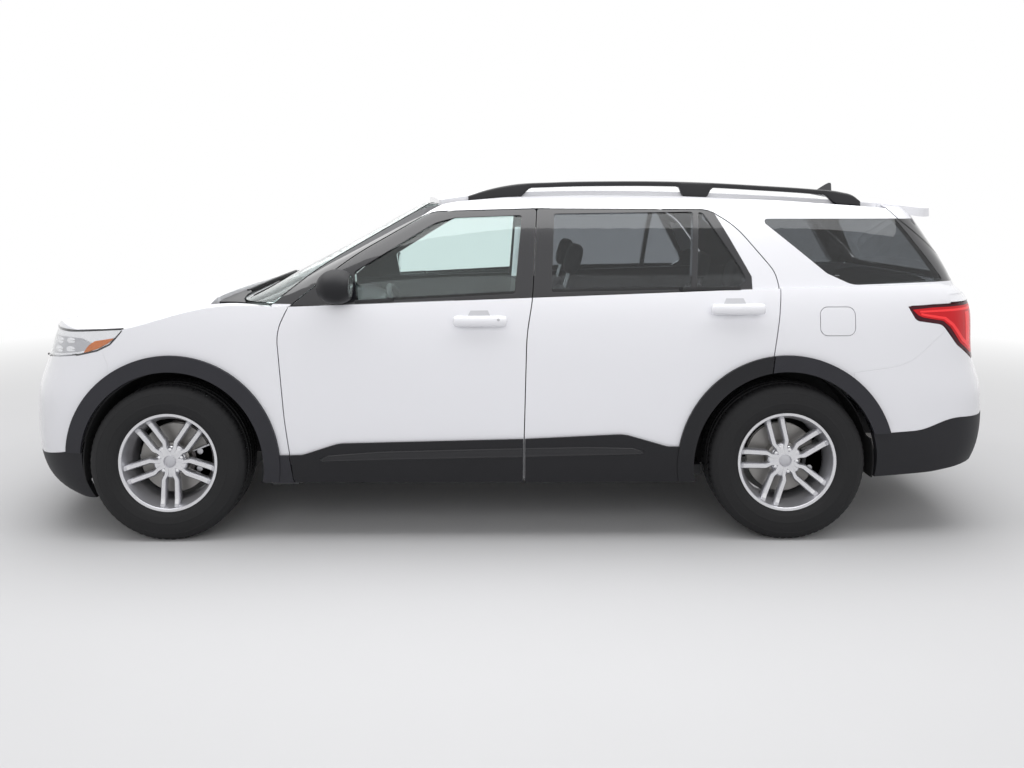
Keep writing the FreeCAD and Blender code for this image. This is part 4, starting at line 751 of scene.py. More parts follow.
def tyre_mesh():
    """Tyre: the profile turned round the axle, with grooves and shoulder lugs sunk into the tread.

    Depth is the greatest of smooth steps: four grooves, blocks cut across the shoulders, and zigzag sipes.
    """
    flip = np.array([-1.0, 1.0])
    wall, hollow = np.array(TYRE_SIDE), np.array(TYRE_HOLLOW)
    tread = np.linspace(-TREAD_HALF, TREAD_HALF, 61)
    crown = np.stack([tread, TREAD_RADIUS - TREAD_CROWN * (tread / TREAD_HALF) ** 2], -1)
    profile = np.concatenate([wall, crown, wall[::-1] * flip, hollow, hollow[::-1] * flip])
    outside = np.arange(len(profile)) < 2 * len(wall) + len(crown)
    turn = full_turn(TYRE_SEGMENTS)[:, None]
    out, radius = profile[None, :, 0], profile[None, :, 1]
    away = np.abs(out)

    depth = np.zeros((TYRE_SEGMENTS, len(profile)))
    for middle, half in GROOVES:
        edge = ramp(np.abs(out - middle), half - GROOVE_EDGE, half + GROOVE_EDGE)
        depth = np.maximum(depth, GROOVE_DEPTH * (1 - edge))
    wave = np.cos(turn * LUGS + np.where(out < 0, 0.0, math.pi) + 27.0 * out)
    lugs = LUG_DEPTH * ramp(wave, 0.72, 0.92) * ramp(away, 0.066, 0.07) * (1 - 0.8 * ramp(away, 0.092, 0.104))
    sipes = SIPE_DEPTH * ramp(np.cos(turn * LUGS + 46.0 * out), 0.93, 0.985) * (1 - ramp(away, 0.064, 0.066))
    depth = np.maximum(depth, np.maximum(lugs, sipes)) * ((radius > TREAD_LOW) & outside)
    fluted = (radius > FLUTE_LOW) & (radius < FLUTE_HIGH)
    flutes = FLUTE_DEPTH * ramp(np.cos(turn * FLUTES), -0.2, 0.4) * fluted
    radius = radius - depth - flutes
    return capped(points_at(np.cos(turn) * radius, -out, np.sin(turn) * radius), True)


BRIDGE_SECTION = np.array([(0, 0.1), (0, 0.9), (0.12, 1.0), (0.88, 1.0), (1.0, 0.9), (1.0, 0.1), (0.88, 0.0),
                           (0.12, 0.0)])
BRIDGES = ((0.106, 0.196, 0.008, 0.034), (0.176, 0.198, -0.036, 0.034), (0.106, 0.196, -0.06, -0.034))
PIN_OUT, PIN_RADII = (-0.058, -0.01, 0.03, 0.0345, 0.036), (0.016, 0.016, 0.016, 0.0145, 0.01)
PIN_CIRCLE, PIN_TURNS, CALIPER_SPAN = 0.14, (-20, 16), (-27, 23)


def caliper_parts():
    """Brake caliper: an arched bridge of ribbed section round the disc's rear edge, with two slide pins."""
    arc = np.linspace(*np.radians(CALIPER_SPAN), 15)[:, None]
    bulge = 1 - np.abs(np.linspace(-1, 1, 15)[:, None]) ** 3
    parts = []
    for low, high, out_low, out_high in BRIDGES:
        radius = low + (high - low) * BRIDGE_SECTION[:, 1] * (0.9 + 0.1 * bulge)
        out = out_low + (out_high - out_low) * BRIDGE_SECTION[:, 0]
        parts.append(capped(points_at(np.cos(arc) * radius, -out, np.sin(arc) * radius)))
    out = np.array(PIN_OUT)[:, None]
    ring = np.array([circle(radius, 20) for radius in PIN_RADII])
    for at in np.radians(PIN_TURNS):
        parts.append(capped(points_at(math.cos(at) * PIN_CIRCLE + ring[..., 0], -out,
                                      math.sin(at) * PIN_CIRCLE + ring[..., 1])))
    return parts


class SUV_OT_wheels(bpy.types.Operator):
    """Tyres, rims, nuts, caps, discs and calipers of the four wheels"""
    bl_idname = "suv.wheels"
    bl_label = "Wheels"

    def execute(self, context):
        settings = context.scene.suv_wheels
        tread = tyre_mesh()
        for end, turn_deg in RIM_TURNS.items():
            turn = math.radians(turn_deg)
            middle = np.array([AXLES[end], -WHEEL_Y, WHEEL_Z])
            for label, side in SIDES:
                wheel = f"wheel_{end}_{label}"
                holder = f"knuckle_{label}" if end == "front" else "body"
                for name, node, parts, finish, body, slot, angle in (
                        ("tyre_dressed", "tyre", [tread], "rubber", wheel, "tyre", 28.0),
                        ("rim_dressed", "rim", rim_parts(settings, turn), "alloy", wheel, "alloy", 30.0),
                        ("wheel_nuts", None, nut_parts(settings, turn), "chrome", wheel, "alloy", 25.0),
                        ("wheel_cap", None, cap_parts(settings), "alloy", wheel, "alloy", 25.0),
                        ("brake_disc", None, disc_parts(), "steel", wheel, "iron", 30.0),
                        ("brake_caliper", None, caliper_parts(), "caliper", holder, "iron", 30.0)):
                    placed = [(points + middle, faces) for points, faces in parts]
                    make(f"{name}_{end}_{label}", placed if side < 0 else on_right(placed), finish, body,
                         [f"{node}_{end}_{label}"] if node else (), slot, angle,
                         outward="bright" if node == "rim" else None)
        return {"FINISHED"}


# Lamps

HEAD_TOP = ((-2.4, 1.03), (-2.3, 1.027), (-2.267, 1.0255), (-2.155, 1.0235), (-1.858, 1.041),
            (-1.851, 1.0415))
HEAD_LOW = ((-2.4, 0.875), (-2.32, 0.8785), (-2.2, 0.892), (-2.082, 0.9105), (-1.985, 0.933),
            (-1.921, 0.964), (-1.866, 1.024), (-1.851, 1.038))
HEAD_START = (-2.366, -2.316)
AMBER_LOW = ((-2.06, 0.919), (-1.985, 0.942), (-1.935, 0.969), (-1.905, 0.993))
AMBER_TOP = ((-2.06, 0.92), (-2.035, 0.956), (-2.0, 0.979), (-1.905, 0.9945))
CELL_LOW = ((-2.3, 0.902), (-2.2, 0.908), (-2.1, 0.921), (-2.04, 0.934), (-2.0, 0.96))
CELL_TOP = ((-2.3, 0.99), (-2.15, 0.993), (-2.08, 0.99), (-2.04, 0.975), (-2.0, 0.961))
HEAD_PATCHES = (
    ("lens", "lens", HEAD_LOW, HEAD_TOP, (HEAD_START, -1.862), (0.0005, 0.0035), 70, 20),
    ("bezel", "chrome", HEAD_LOW, HEAD_TOP, (HEAD_START, -1.866), (0.012, 0.016), 70, 20),
    ("bowl", "dull", HEAD_LOW, HEAD_TOP, (HEAD_START, -1.868), (0.06, 0.066), 60, 16),
    ("amber", "amber", AMBER_LOW, AMBER_TOP, (-2.058, -1.906), (0.0045, 0.0105), 24, 10),
    ("cells", "alloy", CELL_LOW, CELL_TOP, (-2.295, -2.001), (0.006, 0.0115), 40, 14),
)
BEAMS = ((-2.215, 0.95, 0.03), (-2.135, 0.955, 0.027))
BEAM_STEPS, BEAM_FLAT, BEAM_DEPTH, BEAM_CROWN = (-0.02, 0.022), 0.52, 0.0055, 0.002
SEAL_START, SEAL_END, SEAL_RADIUS, SEAL_DEPTH = (-2.312, 1.0265), (-2.355, 0.8765), 0.0055, 0.0035

TAIL_END = (2.388, 2.368)
TAIL_TOP = ((1.972, 1.147), (2.1, 1.156), (2.34, 1.1625), (2.48, 1.164))
TAIL_LOW = ((1.972, 1.144), (2.0, 1.095), (2.03, 1.0755), (2.145, 1.056), (2.176, 1.03),
            (2.226, 0.957), (2.32, 0.886), (2.342, 0.8765), (2.48, 0.875))
FIELD_TOP = ((1.995, 1.131), (2.1, 1.14), (2.34, 1.147), (2.48, 1.148))
FIELD_LOW = ((1.995, 1.129), (2.02, 1.104), (2.045, 1.093), (2.15, 1.075), (2.19, 1.044),
             (2.25, 0.962), (2.33, 0.905), (2.48, 0.9))
BAND_DEPTH = (0.0003, 0.003)
TOP_BAND = ((2.02, 1.1165), (2.3, 1.123), (2.48, 1.125)), ((2.02, 1.125), (2.3, 1.135), (2.48, 1.137))
SLANT_LOW = ((2.03, 1.106), (2.06, 1.0985), (2.155, 1.082), (2.2, 1.048), (2.26, 0.972), (2.33, 0.92),
             (2.345, 0.915))
SLANT_TOP = ((2.03, 1.116), (2.06, 1.1095), (2.165, 1.093), (2.21, 1.06), (2.27, 0.986), (2.33, 0.94),
             (2.345, 0.94))
END_BAND = ((2.28, 0.965), (2.312, 0.93), (2.334, 0.922)), ((2.28, 1.112), (2.334, 1.114))
TAIL_BANDS = (
    (*TOP_BAND, (2.03, 2.366), 60, 6),
    (SLANT_LOW, SLANT_TOP, (2.035, 2.34), 70, 5),
    (*END_BAND, (2.29, 2.325), 10, 24),
)
STRIP_START, STRIP_END, STRIP_LEAN = 2.19, 2.366, 0.026
STRIP_LOW, STRIP_TALL = 1.1645, 0.0365
STRIP_BELOW, STRIP_ABOVE = 1.157, 1.207


def patch(node, low, high, ends, depths, rows, columns):
    """Closed sheet on a CAD face: x between two ends, z between the lower and upper curves, y from the face."""
    s, t = mesh_grid(rows, columns)
    (start_low, start_high), (end_low, end_high) = ((v, v) if isinstance(v, float) else v for v in ends)
    start, end = start_low + (start_high - start_low) * t, end_low + (end_high - end_low) * t
    x = start + (end - start) * s
    bottom = curve_at(low, x)
    z = bottom + (np.maximum(curve_at(high, x), bottom + 0.001) - bottom) * t
    y = skin_y(node, x, z)
    return slab(points_at(x, y + depths[0], z), points_at(x, y + depths[1], z))


def bead(node, path, radius, inset):
    """Round bead along a side-view line laid on a CAD face."""
    path = np.asarray(path, float)
    runs = np.concatenate([[0], np.cumsum(np.hypot(*np.diff(path, axis=0).T))])
    x, z = (np.interp(np.linspace(0, 1, 90) * runs[-1], runs, part) for part in path.T)
    y = skin_y(node, x[None], z[None])[0] + inset
    return tube(np.stack([x, y, z], -1), circle(radius, 10))


class SUV_OT_lamps(bpy.types.Operator):
    """Head and tail lamps: clear or red lens, bowls, light bands, amber reflectors and dark outlines"""
    bl_idname = "suv.lamps"
    bl_label = "Lamps"

    def execute(self, context):
        self.head_lamps()
        self.tail_lamps()
        return {"FINISHED"}

    def head_lamps(self):
        node = "headlamps"
        for name, finish, *shape in HEAD_PATCHES:
            replaces = [node] if name == "lens" else ()
            both_sides(f"headlamp_{name}", [patch(node, *shape)], finish, "body", replaces, slot="lamp")
        line = [SEAL_START, *HEAD_TOP[2:], *HEAD_LOW[-2:0:-1], SEAL_END]
        seal = bead(node, line, SEAL_RADIUS, SEAL_DEPTH)
        both_sides("headlamp_seal", [seal], "gloss", "body", slot="gloss_black")
        beams = []
        for x, z, size in BEAMS:
            for step in BEAM_STEPS:
                s, t = mesh_grid(9, 24)
                turn = 2 * math.pi * t
                along, up = x + size * s * np.cos(turn), z + step + size * BEAM_FLAT * s * np.sin(turn)
                y = skin_y(node, along, up) + BEAM_DEPTH - BEAM_CROWN * (1 - s ** 2)
                beams.append(sheet(points_at(along, y, up), y=0.004))
        both_sides("headlamp_beams", beams, "chrome", "body", slot="lamp")

    def tail_lamps(self):
        node = "tail_lamps"
        border = patch(node, TAIL_LOW, TAIL_TOP, (1.973, TAIL_END), (0.0035, 0.03), 80, 26)
        field = patch(node, FIELD_LOW, FIELD_TOP, (1.996, TAIL_END), (0.0015, 0.0055), 80, 26)
        bands = [patch(node, low, high, ends, BAND_DEPTH, *counts) for low, high, ends, *counts in TAIL_BANDS]
        both_sides("tail_lamp_border", [border], "red_dark", "body", [node], slot="red_lamp")
        both_sides("tail_lamp_field", [field], "red", "body", slot="red_lamp")
        both_sides("tail_lamp_bands", bands, "red_bright", "body", slot="red_lamp")
        s, t = mesh_grid(40, 8)
        x = STRIP_START + (STRIP_END - STRIP_LEAN * t - STRIP_START) * s
        z = STRIP_LOW + STRIP_TALL * t
        above = skin_y("body_side_left", x[:, -1:], np.full((40, 1), STRIP_ABOVE))
        below = skin_y(node, x[:, :1], np.full((40, 1), STRIP_BELOW))
        y = below + (above - below) * (z - STRIP_BELOW) / (STRIP_ABOVE - STRIP_BELOW) + 0.0006
        both_sides("tail_corner", [sheet(points_at(x, y, z), y=0.003)], "paint", "body", slot="paint")


# Trim

RAIL_TOP = ((-0.19, 1.69), (-0.1, 1.719), (0.034, 1.747), (0.25, 1.76), (0.522, 1.7655),
            (0.997, 1.76), (1.3, 1.744), (1.594, 1.7245), (1.73, 1.711), (1.8, 1.69), (1.832, 1.665))
RAIL_Y, RAIL_HALF, RAIL_TALL, RAIL_LEAST, RAIL_SUNK, RAIL_CORNER = -0.652, 0.018, 0.026, 0.012, 0.003, 0.55
FRONT_FOOT, MIDDLE_FOOT, REAR_FOOT = (0.07, 0.135), ((0.89, 0.92), (1.035, 1.07)), (1.64, 1.72)
FIN_FRONT = ((1.655, 1.772), (1.7, 1.79), (1.716, 1.804), (1.745, 1.848), (1.765, 1.88), (1.774, 1.8985))
FIN_REAR = ((1.655, 1.922), (1.7, 1.92), (1.765, 1.916), (1.774, 1.912))
FIN_HALF = ((1.655, 0.031), (1.69, 0.02), (1.765, 0.005), (1.774, 0.002))
SKIRT_BEHIND, SKIRT_BEFORE = (-11, 14), (166, 193)
SKIRTS = {"front": (-0.507, ((SKIRT_BEHIND, -0.92), (SKIRT_BEFORE, -0.92))),
          "rear": (-0.657, ((SKIRT_BEHIND, -0.92), (SKIRT_BEFORE, -0.846)))}
CHEEK_LOW, CHEEK_HIGH = 0.238, 0.4425
SKIRT_RADII = (0.45, 0.444)
# Painted shade of the finger pockets above the pulls, placed by the door and the x and z of its pull's middle
POCKETS = (("front", -0.124, 1.085), ("rear", 1.12, 1.142))
POCKET_ENDS = ((-0.062, -0.044), (0.058, 0.04))
POCKET_REACH, POCKET_LOW, POCKET_HIGH, POCKET_RISE = 0.2, 0.01, 0.046, 0.002
PULLS = (("front", -0.242, 0.002, 1.085), ("rear", 1.0, 1.245, 1.142))
PULL_HALF, PULL_OUT, PULL_IN, PULL_DEPTH, PULL_OVERHANG = 0.0265, 0.019, 0.006, 0.012, 0.009
KEY_INSET, KEY_RISE, KEY_OUT = 0.034, 0.008, 0.0055
KEY_RINGS = ((0.0075, -0.006), (0.0075, 0.0), (0.006, 0.0014), (0.0015, 0.0016))
BELTS = (("front", ((-0.728, 1.1677), (0.052, 1.2093))),
         ("rear", ((0.225, 1.217), (0.912, 1.229), (1.15, 1.2322))))
BELT_START, BELT_TALL, BELT_OUT, BELT_SWELL, BELT_SKIN, DOOR_LEAN = -0.005, 0.018, 0.0008, 0.0014, 0.01, 0.4
MIRROR_PLACE, MIRROR_HALF, MIRROR_CROWN = (-0.7372, -1.026, 1.252), (0.07, 0.05), 0.0022
RIB_OUT, RIB_SWELL, RIB_EDGES, RIB_EDGE_RUN = 0.0006, 0.0022, (0.1, 0.9), 0.07
SILL_LOW = ((-0.902, 0.406), (-0.88, 0.396), (-0.6, 0.404), (0.0, 0.416), (0.6, 0.43), (0.655, 0.433),
            (0.68, 0.443))
SILL_HIGH = ((-0.902, 0.408), (-0.86, 0.427), (-0.6, 0.448), (0.0, 0.463), (0.4, 0.47), (0.62, 0.464),
             (0.68, 0.445))
WIPERS = ((-1.345, 0.125, -0.6, 0.55), (-1.35, 0.1, 0.08, 0.52))
WIPER_BOW, WIPER_X, WIPER_Z, WIPER_SLOPE, BLADE_SHIFT = 0.02, -1.33, 1.206, 0.5, np.array([0.012, 0.03, -0.006])
PLATE_X, PLATE_LEAN, PLATE_HALF, PLATE_LOW, PLATE_TALL = 2.48, 0.004, 0.155, 0.902, 0.152


class SUV_OT_trim(bpy.types.Operator):
    """Sill ribs, wipers, plate, roof rails and fin, arch linings, door pulls with the painted shade of their
    pockets, seals and mirrors
    """
    bl_idname = "suv.trim"
    bl_label = "Trim"

    def execute(self, context):
        self.sill_ribs()
        self.wipers()
        self.rear_plate()
        self.roof_rails()
        self.roof_fin()
        self.liner_skirts()
        self.handle_cup_shades()
        self.pulls()
        self.belt_seals()
        self.mirror_glasses()
        return {"FINISHED"}

    def sill_ribs(self):
        """Ribs on the sill covers: a low swell with a raised lip along each edge."""
        for end, start, stop in (("front", -0.9, 0.084), ("rear", 0.101, 0.678)):
            node = f"door_{end}_left_trim"
            s, t = mesh_grid(110, 18)
            x = start + (stop - start) * s
            bottom = curve_at(SILL_LOW, x)
            z = bottom + (curve_at(SILL_HIGH, x) - bottom) * t
            lip = sum(np.exp(-((t - edge) / RIB_EDGE_RUN) ** 2) for edge in RIB_EDGES)
            y = skin_y(node, x, z)
            outer = points_at(x, y - RIB_OUT - RIB_SWELL * (np.sin(math.pi * t) ** 0.5 + lip), z)
            both_sides(f"sill_rib_{end}", [slab(outer, points_at(x, y + 0.004, z))], "satin",
                       "door_" + end + "_{side}", slot="trim", angle=40.0)

    def wipers(self):
        """Wipers: each arm is a shallow arc over the foot of the windshield, with its blade beside it."""
        arms, blades = [], []
        s = np.linspace(0, 1, 24)
        for x0, run, y0, reach in WIPERS:
            x = x0 + run * s + WIPER_BOW * np.sin(math.pi * s)
            arm = points_at(x, y0 + reach * s, WIPER_Z + (x - WIPER_X) * WIPER_SLOPE)
            arms.append(tube(arm, rounded(0.016, 0.008, 0.003)))
            blades.append(tube(arm + BLADE_SHIFT, rounded(0.01, 0.014, 0.003)))
        make("wiper_arms", arms, "satin", "body", (), "trim")
        make("wiper_blades", blades, "dull", "body", (), "trim")

    def rear_plate(self):
        s, t = mesh_grid(24, 8)
        outer = points_at(PLATE_X - PLATE_LEAN * t, PLATE_HALF * (2 * s - 1), PLATE_LOW + PLATE_TALL * t)
        make("rear_plate", [sheet(outer, x=-0.004)], "plate", "liftgate", (), "trim")

    def roof_rails(self):
        """Rail: rounded sections along x under one smooth arch, reaching down to the roof at three feet."""
        x = np.linspace(RAIL_TOP[0][0], RAIL_TOP[-1][0], 150)
        top = smooth_at(RAIL_TOP, x)
        roof = skin_z("body_side_left", x[None], np.full((1, x.size), RAIL_Y))[0]
        roof = np.minimum(roof, top - RAIL_LEAST)
        begun, ended = (ramp(x, *span) for span in MIDDLE_FOOT)
        foot = 1 - ramp(x, *FRONT_FOOT) + begun * (1 - ended) + ramp(x, *REAR_FOOT)
        under = top - RAIL_TALL
        low = np.minimum(under, under + (roof - RAIL_SUNK - under) * foot)[:, None]
        across, rise = oval(full_turn(24), RAIL_CORNER)
        rings = points_at(x[:, None], RAIL_Y + across * RAIL_HALF, low + (top[:, None] - low) * (rise + 1) / 2)
        both_sides("roof_rail", [capped(rings)], "satin", "body", ["roof_trim"], slot="trim")

    def roof_fin(self):
        """Aerial fin: pointed ovals stacked from the roof to a swept tip."""
        z = np.linspace(FIN_FRONT[0][0], FIN_FRONT[-1][0], 26)[:, None]
        front, rear, half = (curve_at(table, z) for table in (FIN_FRONT, FIN_REAR, FIN_HALF))
        turn = full_turn(40)
        along, across = (1 + np.cos(turn)) / 2, np.sin(turn) * (0.62 + 0.38 * np.cos(turn))
        rings = points_at(front + (rear - front) * along, half * across, z)
        make("roof_fin_dressed", [capped(rings)], "gloss", "body", (), "trim")

    def liner_skirts(self):
        """Lower ends of the arch linings: a curved wall and its inner cheek behind and before each wheel."""
        for end, (inner, spans) in SKIRTS.items():
            parts = []
            for (low, high), edge in spans:
                s, t = mesh_grid(20, 8)
                turn = np.radians(low + (high - low) * s)

                def arc(radius, y):
                    return points_at(ARCHES[end] + radius * np.cos(turn), y, ARCH_Z + radius * np.sin(turn))

                parts.append(sheet(arc(CHEEK_LOW + (CHEEK_HIGH - CHEEK_LOW) * t, inner), y=0.005))
                parts.append(slab(*(arc(radius, edge + (inner - edge) * t) for radius in SKIRT_RADII)))
            both_sides(f"liner_skirt_{end}", parts, "dull", "body", slot="trim")

    def handle_cup_shades(self):
        """Painted shade of the finger pockets above the door pulls: slanted patches of darkened paint laid on
        the door's skin, which has no recess.
        """
        for end, x, z in POCKETS:
            fore, aft, bottom, top = x - POCKET_REACH, x + POCKET_REACH, z + POCKET_LOW, z + POCKET_HIGH
            low, high = ((fore, bottom), (aft, bottom)), ((fore, top), (aft, top + POCKET_RISE))
            ends = [(x + below, x + above) for below, above in POCKET_ENDS]
            pocket = patch(f"door_{end}_left", low, high, ends, (-0.0008, 0.003), 30, 10)
            both_sides(f"handle_cup_{end}", [pocket], "cup", "door_" + end + "_{side}", slot="paint")

    def pulls(self):
        """Door pulls: ovals along the bar, drawn in at its ends. The front ones have a key's cover."""
        turn = full_turn(32)
        for end, x0, x1, z0 in PULLS:
            s = np.linspace(0, 1, 72)
            x = x0 - PULL_OVERHANG + (x1 - x0 + 2 * PULL_OVERHANG) * s
            mid = np.array([x0 + 0.03, x1 - 0.03])
            face = skin_y(f"door_{end}_left", mid[None], np.full((1, 2), z0))[0]
            y = face[0] + (face[1] - face[0]) * (x - mid[0]) / (mid[1] - mid[0])
            swell = np.maximum(1 - np.abs(2 * s - 1) ** 24, 0.0009)[:, None] ** 0.5
            out = np.where(np.cos(turn) > 0, PULL_OUT, PULL_IN) * np.cos(turn)
            rings = points_at(x[:, None], y[:, None] + PULL_DEPTH - swell * out,
                              z0 + PULL_HALF * swell * np.sin(turn))
            both_sides(f"door_pull_{end}", [capped(rings)], "paint", "door_" + end + "_{side}", slot="paint")
            if end == "front":
                radius, rise = np.array(KEY_RINGS).T[..., None]
                key = points_at(x1 - KEY_INSET + radius * np.cos(turn), face[1] - KEY_OUT - rise,
                                z0 + KEY_RISE + radius * np.sin(turn))
                both_sides("key_cover", [capped(key)], "caliper", "door_front_{side}", slot="steel")

    def belt_seals(self):
        """Soft seals along the lower edges of the door windows."""
        for end, line in BELTS:
            s, t = mesh_grid(60, 6)
            x = line[0][0] + (line[-1][0] - line[0][0]) * s
            bottom = curve_at(line, x)
            z = bottom + BELT_START + BELT_TALL * t
            skin = skin_y(f"door_{end}_left", x, bottom - BELT_SKIN)
            y = skin - BELT_OUT - BELT_SWELL * np.sin(math.pi * t) + DOOR_LEAN * (z - bottom + BELT_SKIN)
            both_sides(f"belt_seal_{end}", [sheet(points_at(x, y, z), y=0.005)], "dull",
                       "door_" + end + "_{side}", slot="trim")

    def mirror_glasses(self):
        s, t = mesh_grid(8, 40)
        turn = 2 * math.pi * t
        (x, y, z), (wide, tall) = MIRROR_PLACE, MIRROR_HALF
        y, z = y + wide * s * np.cos(turn), z + tall * s * np.sin(turn)
        glass = points_at(x + MIRROR_CROWN * (1 - s ** 2), y, z)
        both_sides("mirror_glass", [sheet(glass, x=-0.004)], "mirror", "door_front_{side}", slot="steel")


# Cabin

FRONT_SEAT_Y, SECOND_ROW_YS, THIRD_ROW_YS = 0.38, (-0.425, 0.0, 0.425), (-0.28, 0.28)
FRONT_PIVOT, FRONT_LEAN = (0.175, 0.0, 0.64), 15.0
SECOND_PIVOT, THIRD_PIVOT, ROW_LEAN = (1.11, 0.0, 0.65), (1.945, 0.0, 0.745), 12.0
CUSHION_ROWS = 34
# x from and to, distance beside the seat's middle, half width, z from and to, crown, bulge, leans
FRONT_SEAT = (
    (-0.315, 0.15, 0.0, 0.245, 0.555, 0.69, 0.1, 0.32, False),
    (-0.3, 0.14, 0.215, 0.045, 0.56, 0.712, 0.05, 0.45, False),
    (0.115, 0.235, 0.0, 0.24, 0.6, 1.22, 0.12, 0.32, True),
    (0.135, 0.225, 0.0, 0.12, 1.29, 1.46, 0.12, 0.45, True),
    (0.085, 0.215, 0.205, 0.045, 0.68, 1.12, 0.05, 0.5, True),
)
SECOND_SEAT = (
    (0.65, 1.08, 0.0, 0.21, 0.59, 0.722, 0.1, 0.32, False),
    (1.055, 1.165, 0.0, 0.21, 0.62, 1.16, 0.12, 0.32, True),
    (1.07, 1.15, 0.0, 0.12, 1.195, 1.36, 0.1, 0.45, True),
)
THIRD_SEAT = (
    (1.49, 1.92, 0.0, 0.275, 0.69, 0.815, 0.1, 0.32, False),
    (1.895, 2.0, 0.0, 0.275, 0.715, 1.17, 0.12, 0.32, True),
)
ROW_BASES = (("second", 0.68, 0.9, 0.6, 0.32, 0.6), ("third", 1.52, 1.76, 0.5, 0.56, 0.7))
POST_HALF, POST_RADIUS, POST_FOOT, POST_HEAD = 0.06, 0.007, (0.175, 1.15), (0.18, 1.36)
WHEEL_CENTRE, WHEEL_LEAN, WHEEL_RADIUS, GRIP_RADIUS = (-0.56, -0.38, 1.04), 25.0, 0.176, 0.015
WHEEL_SPOKES = ((0.0, 0.046), (math.pi, 0.046), (-math.pi / 2, 0.06))


def crowned(low, high, crown, bulge):
    """Cushion: a superellipsoid between two corners, its faces swollen by crown towards their middles."""
    u, v = mesh_grid(CUSHION_ROWS, 2 * CUSHION_ROWS)
    (a_cos, a_sin), (b_cos, b_sin) = oval((u - 0.5) * math.pi, bulge), oval(v * 2 * math.pi, bulge)
    half, middle = (np.array(high) - np.array(low)) / 2, (np.array(high) + np.array(low)) / 2
    unit = np.stack([a_cos * b_cos, a_cos * b_sin, a_sin], -1)
    swell = 1 + crown * (1 - np.abs(unit[..., [1, 2, 0]]) ** 2) * (1 - np.abs(unit[..., [2, 0, 1]]) ** 2)
    return middle + half * unit * swell / (1 + crown), grid_faces(CUSHION_ROWS, 2 * CUSHION_ROWS)


def leaned(part, pivot, angle_deg):
    """A part turned about a line across the car, its top moving back."""
    points, faces = part
    c, s = math.cos(math.radians(angle_deg)), math.sin(math.radians(angle_deg))
    x, y, z = np.moveaxis(points - np.array(pivot), -1, 0)
    return np.stack([x * c + z * s, y, z * c - x * s], -1) + np.array(pivot), faces


def seat(table, middle, pivot, lean):
    """Cushions of one seat. A part beside its middle comes twice, and a leaning one turns about the pivot."""
    parts = []
    for x0, x1, beside, half, z0, z1, crown, bulge, leans in table:
        for y in (middle - beside, middle + beside) if beside else (middle,):
            part = crowned((x0, y - half, z0), (x1, y + half, z1), crown, bulge)
            parts.append(leaned(part, pivot, lean) if leans else part)
    return parts


def seat_base(name, x0, x1, y0, y1, low, high, counts):
    """Plain box under a seat."""
    s, t = mesh_grid(*counts)
    top = points_at(x0 + (x1 - x0) * s, y0 + (y1 - y0) * t, high)
    make(f"seat_base_{name}", [sheet(top, z=low - high)], "plastic", "body", (), "cabin")


class SUV_OT_cabin(bpy.types.Operator):
    """Seats with their bases and headrest posts, and the steering wheel"""
    bl_idname = "suv.cabin"
    bl_label = "Cabin"

    def execute(self, context):
        for label, side in SIDES:
            self.front_seat(label, side * FRONT_SEAT_Y)
        self.rear_rows()
        self.steering_wheel()
        return {"FINISHED"}

    def seat_piece(self, name, parts, replaces=()):
        make(name, parts, "cloth", "body", replaces, "seat", 50.0)

    def front_seat(self, label, y):
        """Cushion with two wings, back with two ears, and a headrest on two posts."""
        parts = seat(FRONT_SEAT, y, FRONT_PIVOT, FRONT_LEAN)
        self.seat_piece(f"seat_front_{label}", parts, ["front_seats"] if label == "left" else ())
        posts = []
        for beside in (y - POST_HALF, y + POST_HALF):
            foot, head = ((x, beside, z) for x, z in (POST_FOOT, POST_HEAD))
            post = tube(np.linspace(foot, head, 5), circle(POST_RADIUS, 12))
            posts.append(leaned(post, FRONT_PIVOT, FRONT_LEAN))
        make(f"headrest_posts_{label}", posts, "chrome", "body", (), "steel")
        seat_base(label, -0.25, 0.11, y - 0.2, y + 0.2, 0.33, 0.555, (12, 12))

    def rear_rows(self):
        """Second row of three places, the middle one without a headrest, and third row of two."""
        second, third = [], []
        for y in SECOND_ROW_YS:
            second += seat(SECOND_SEAT if y else SECOND_SEAT[:2], y, SECOND_PIVOT, ROW_LEAN)
        for y in THIRD_ROW_YS:
            third += seat(THIRD_SEAT, y, THIRD_PIVOT, ROW_LEAN)
        self.seat_piece("seat_row_second", second, ["rear_seats"])
        self.seat_piece("seat_row_third", third)
        for name, x0, x1, half, low, high in ROW_BASES:
            seat_base(name, x0, x1, -half, half, low, high, (8, 12))

    def steering_wheel(self):
        """Rim as a torus, hub pad as a crowned form and three flat spokes, all leaned back with the column."""
        turn = full_turn(96)[:, None]
        out, forward = circle(GRIP_RADIUS, 14).T
        rim = points_at(forward, np.cos(turn) * (WHEEL_RADIUS + out), np.sin(turn) * (WHEEL_RADIUS + out))
        parts = [capped(rim, True), crowned((-0.01, -0.075, -0.065), (0.022, 0.075, 0.06), 0.15, 0.45)]
        reach = np.linspace(0.05, 0.172, 9)[:, None]
        for angle, wide in WHEEL_SPOKES:
            across, thick = rounded(wide, 0.014, 0.005).T
            c, s = np.cos(angle), np.sin(angle)
            parts.append(capped(points_at(thick, c * reach - s * across, s * reach + c * across)))
        centre = np.array(WHEEL_CENTRE)
        moved = [leaned((points + centre, faces), centre, -WHEEL_LEAN) for points, faces in parts]
        make("steering_wheel_dressed", moved, "plastic", "steering_wheel", ["steering_wheel"], "cabin", 40.0)


# Finishes of the CAD nodes. The dashboard and the replaced nodes take cabin plastic

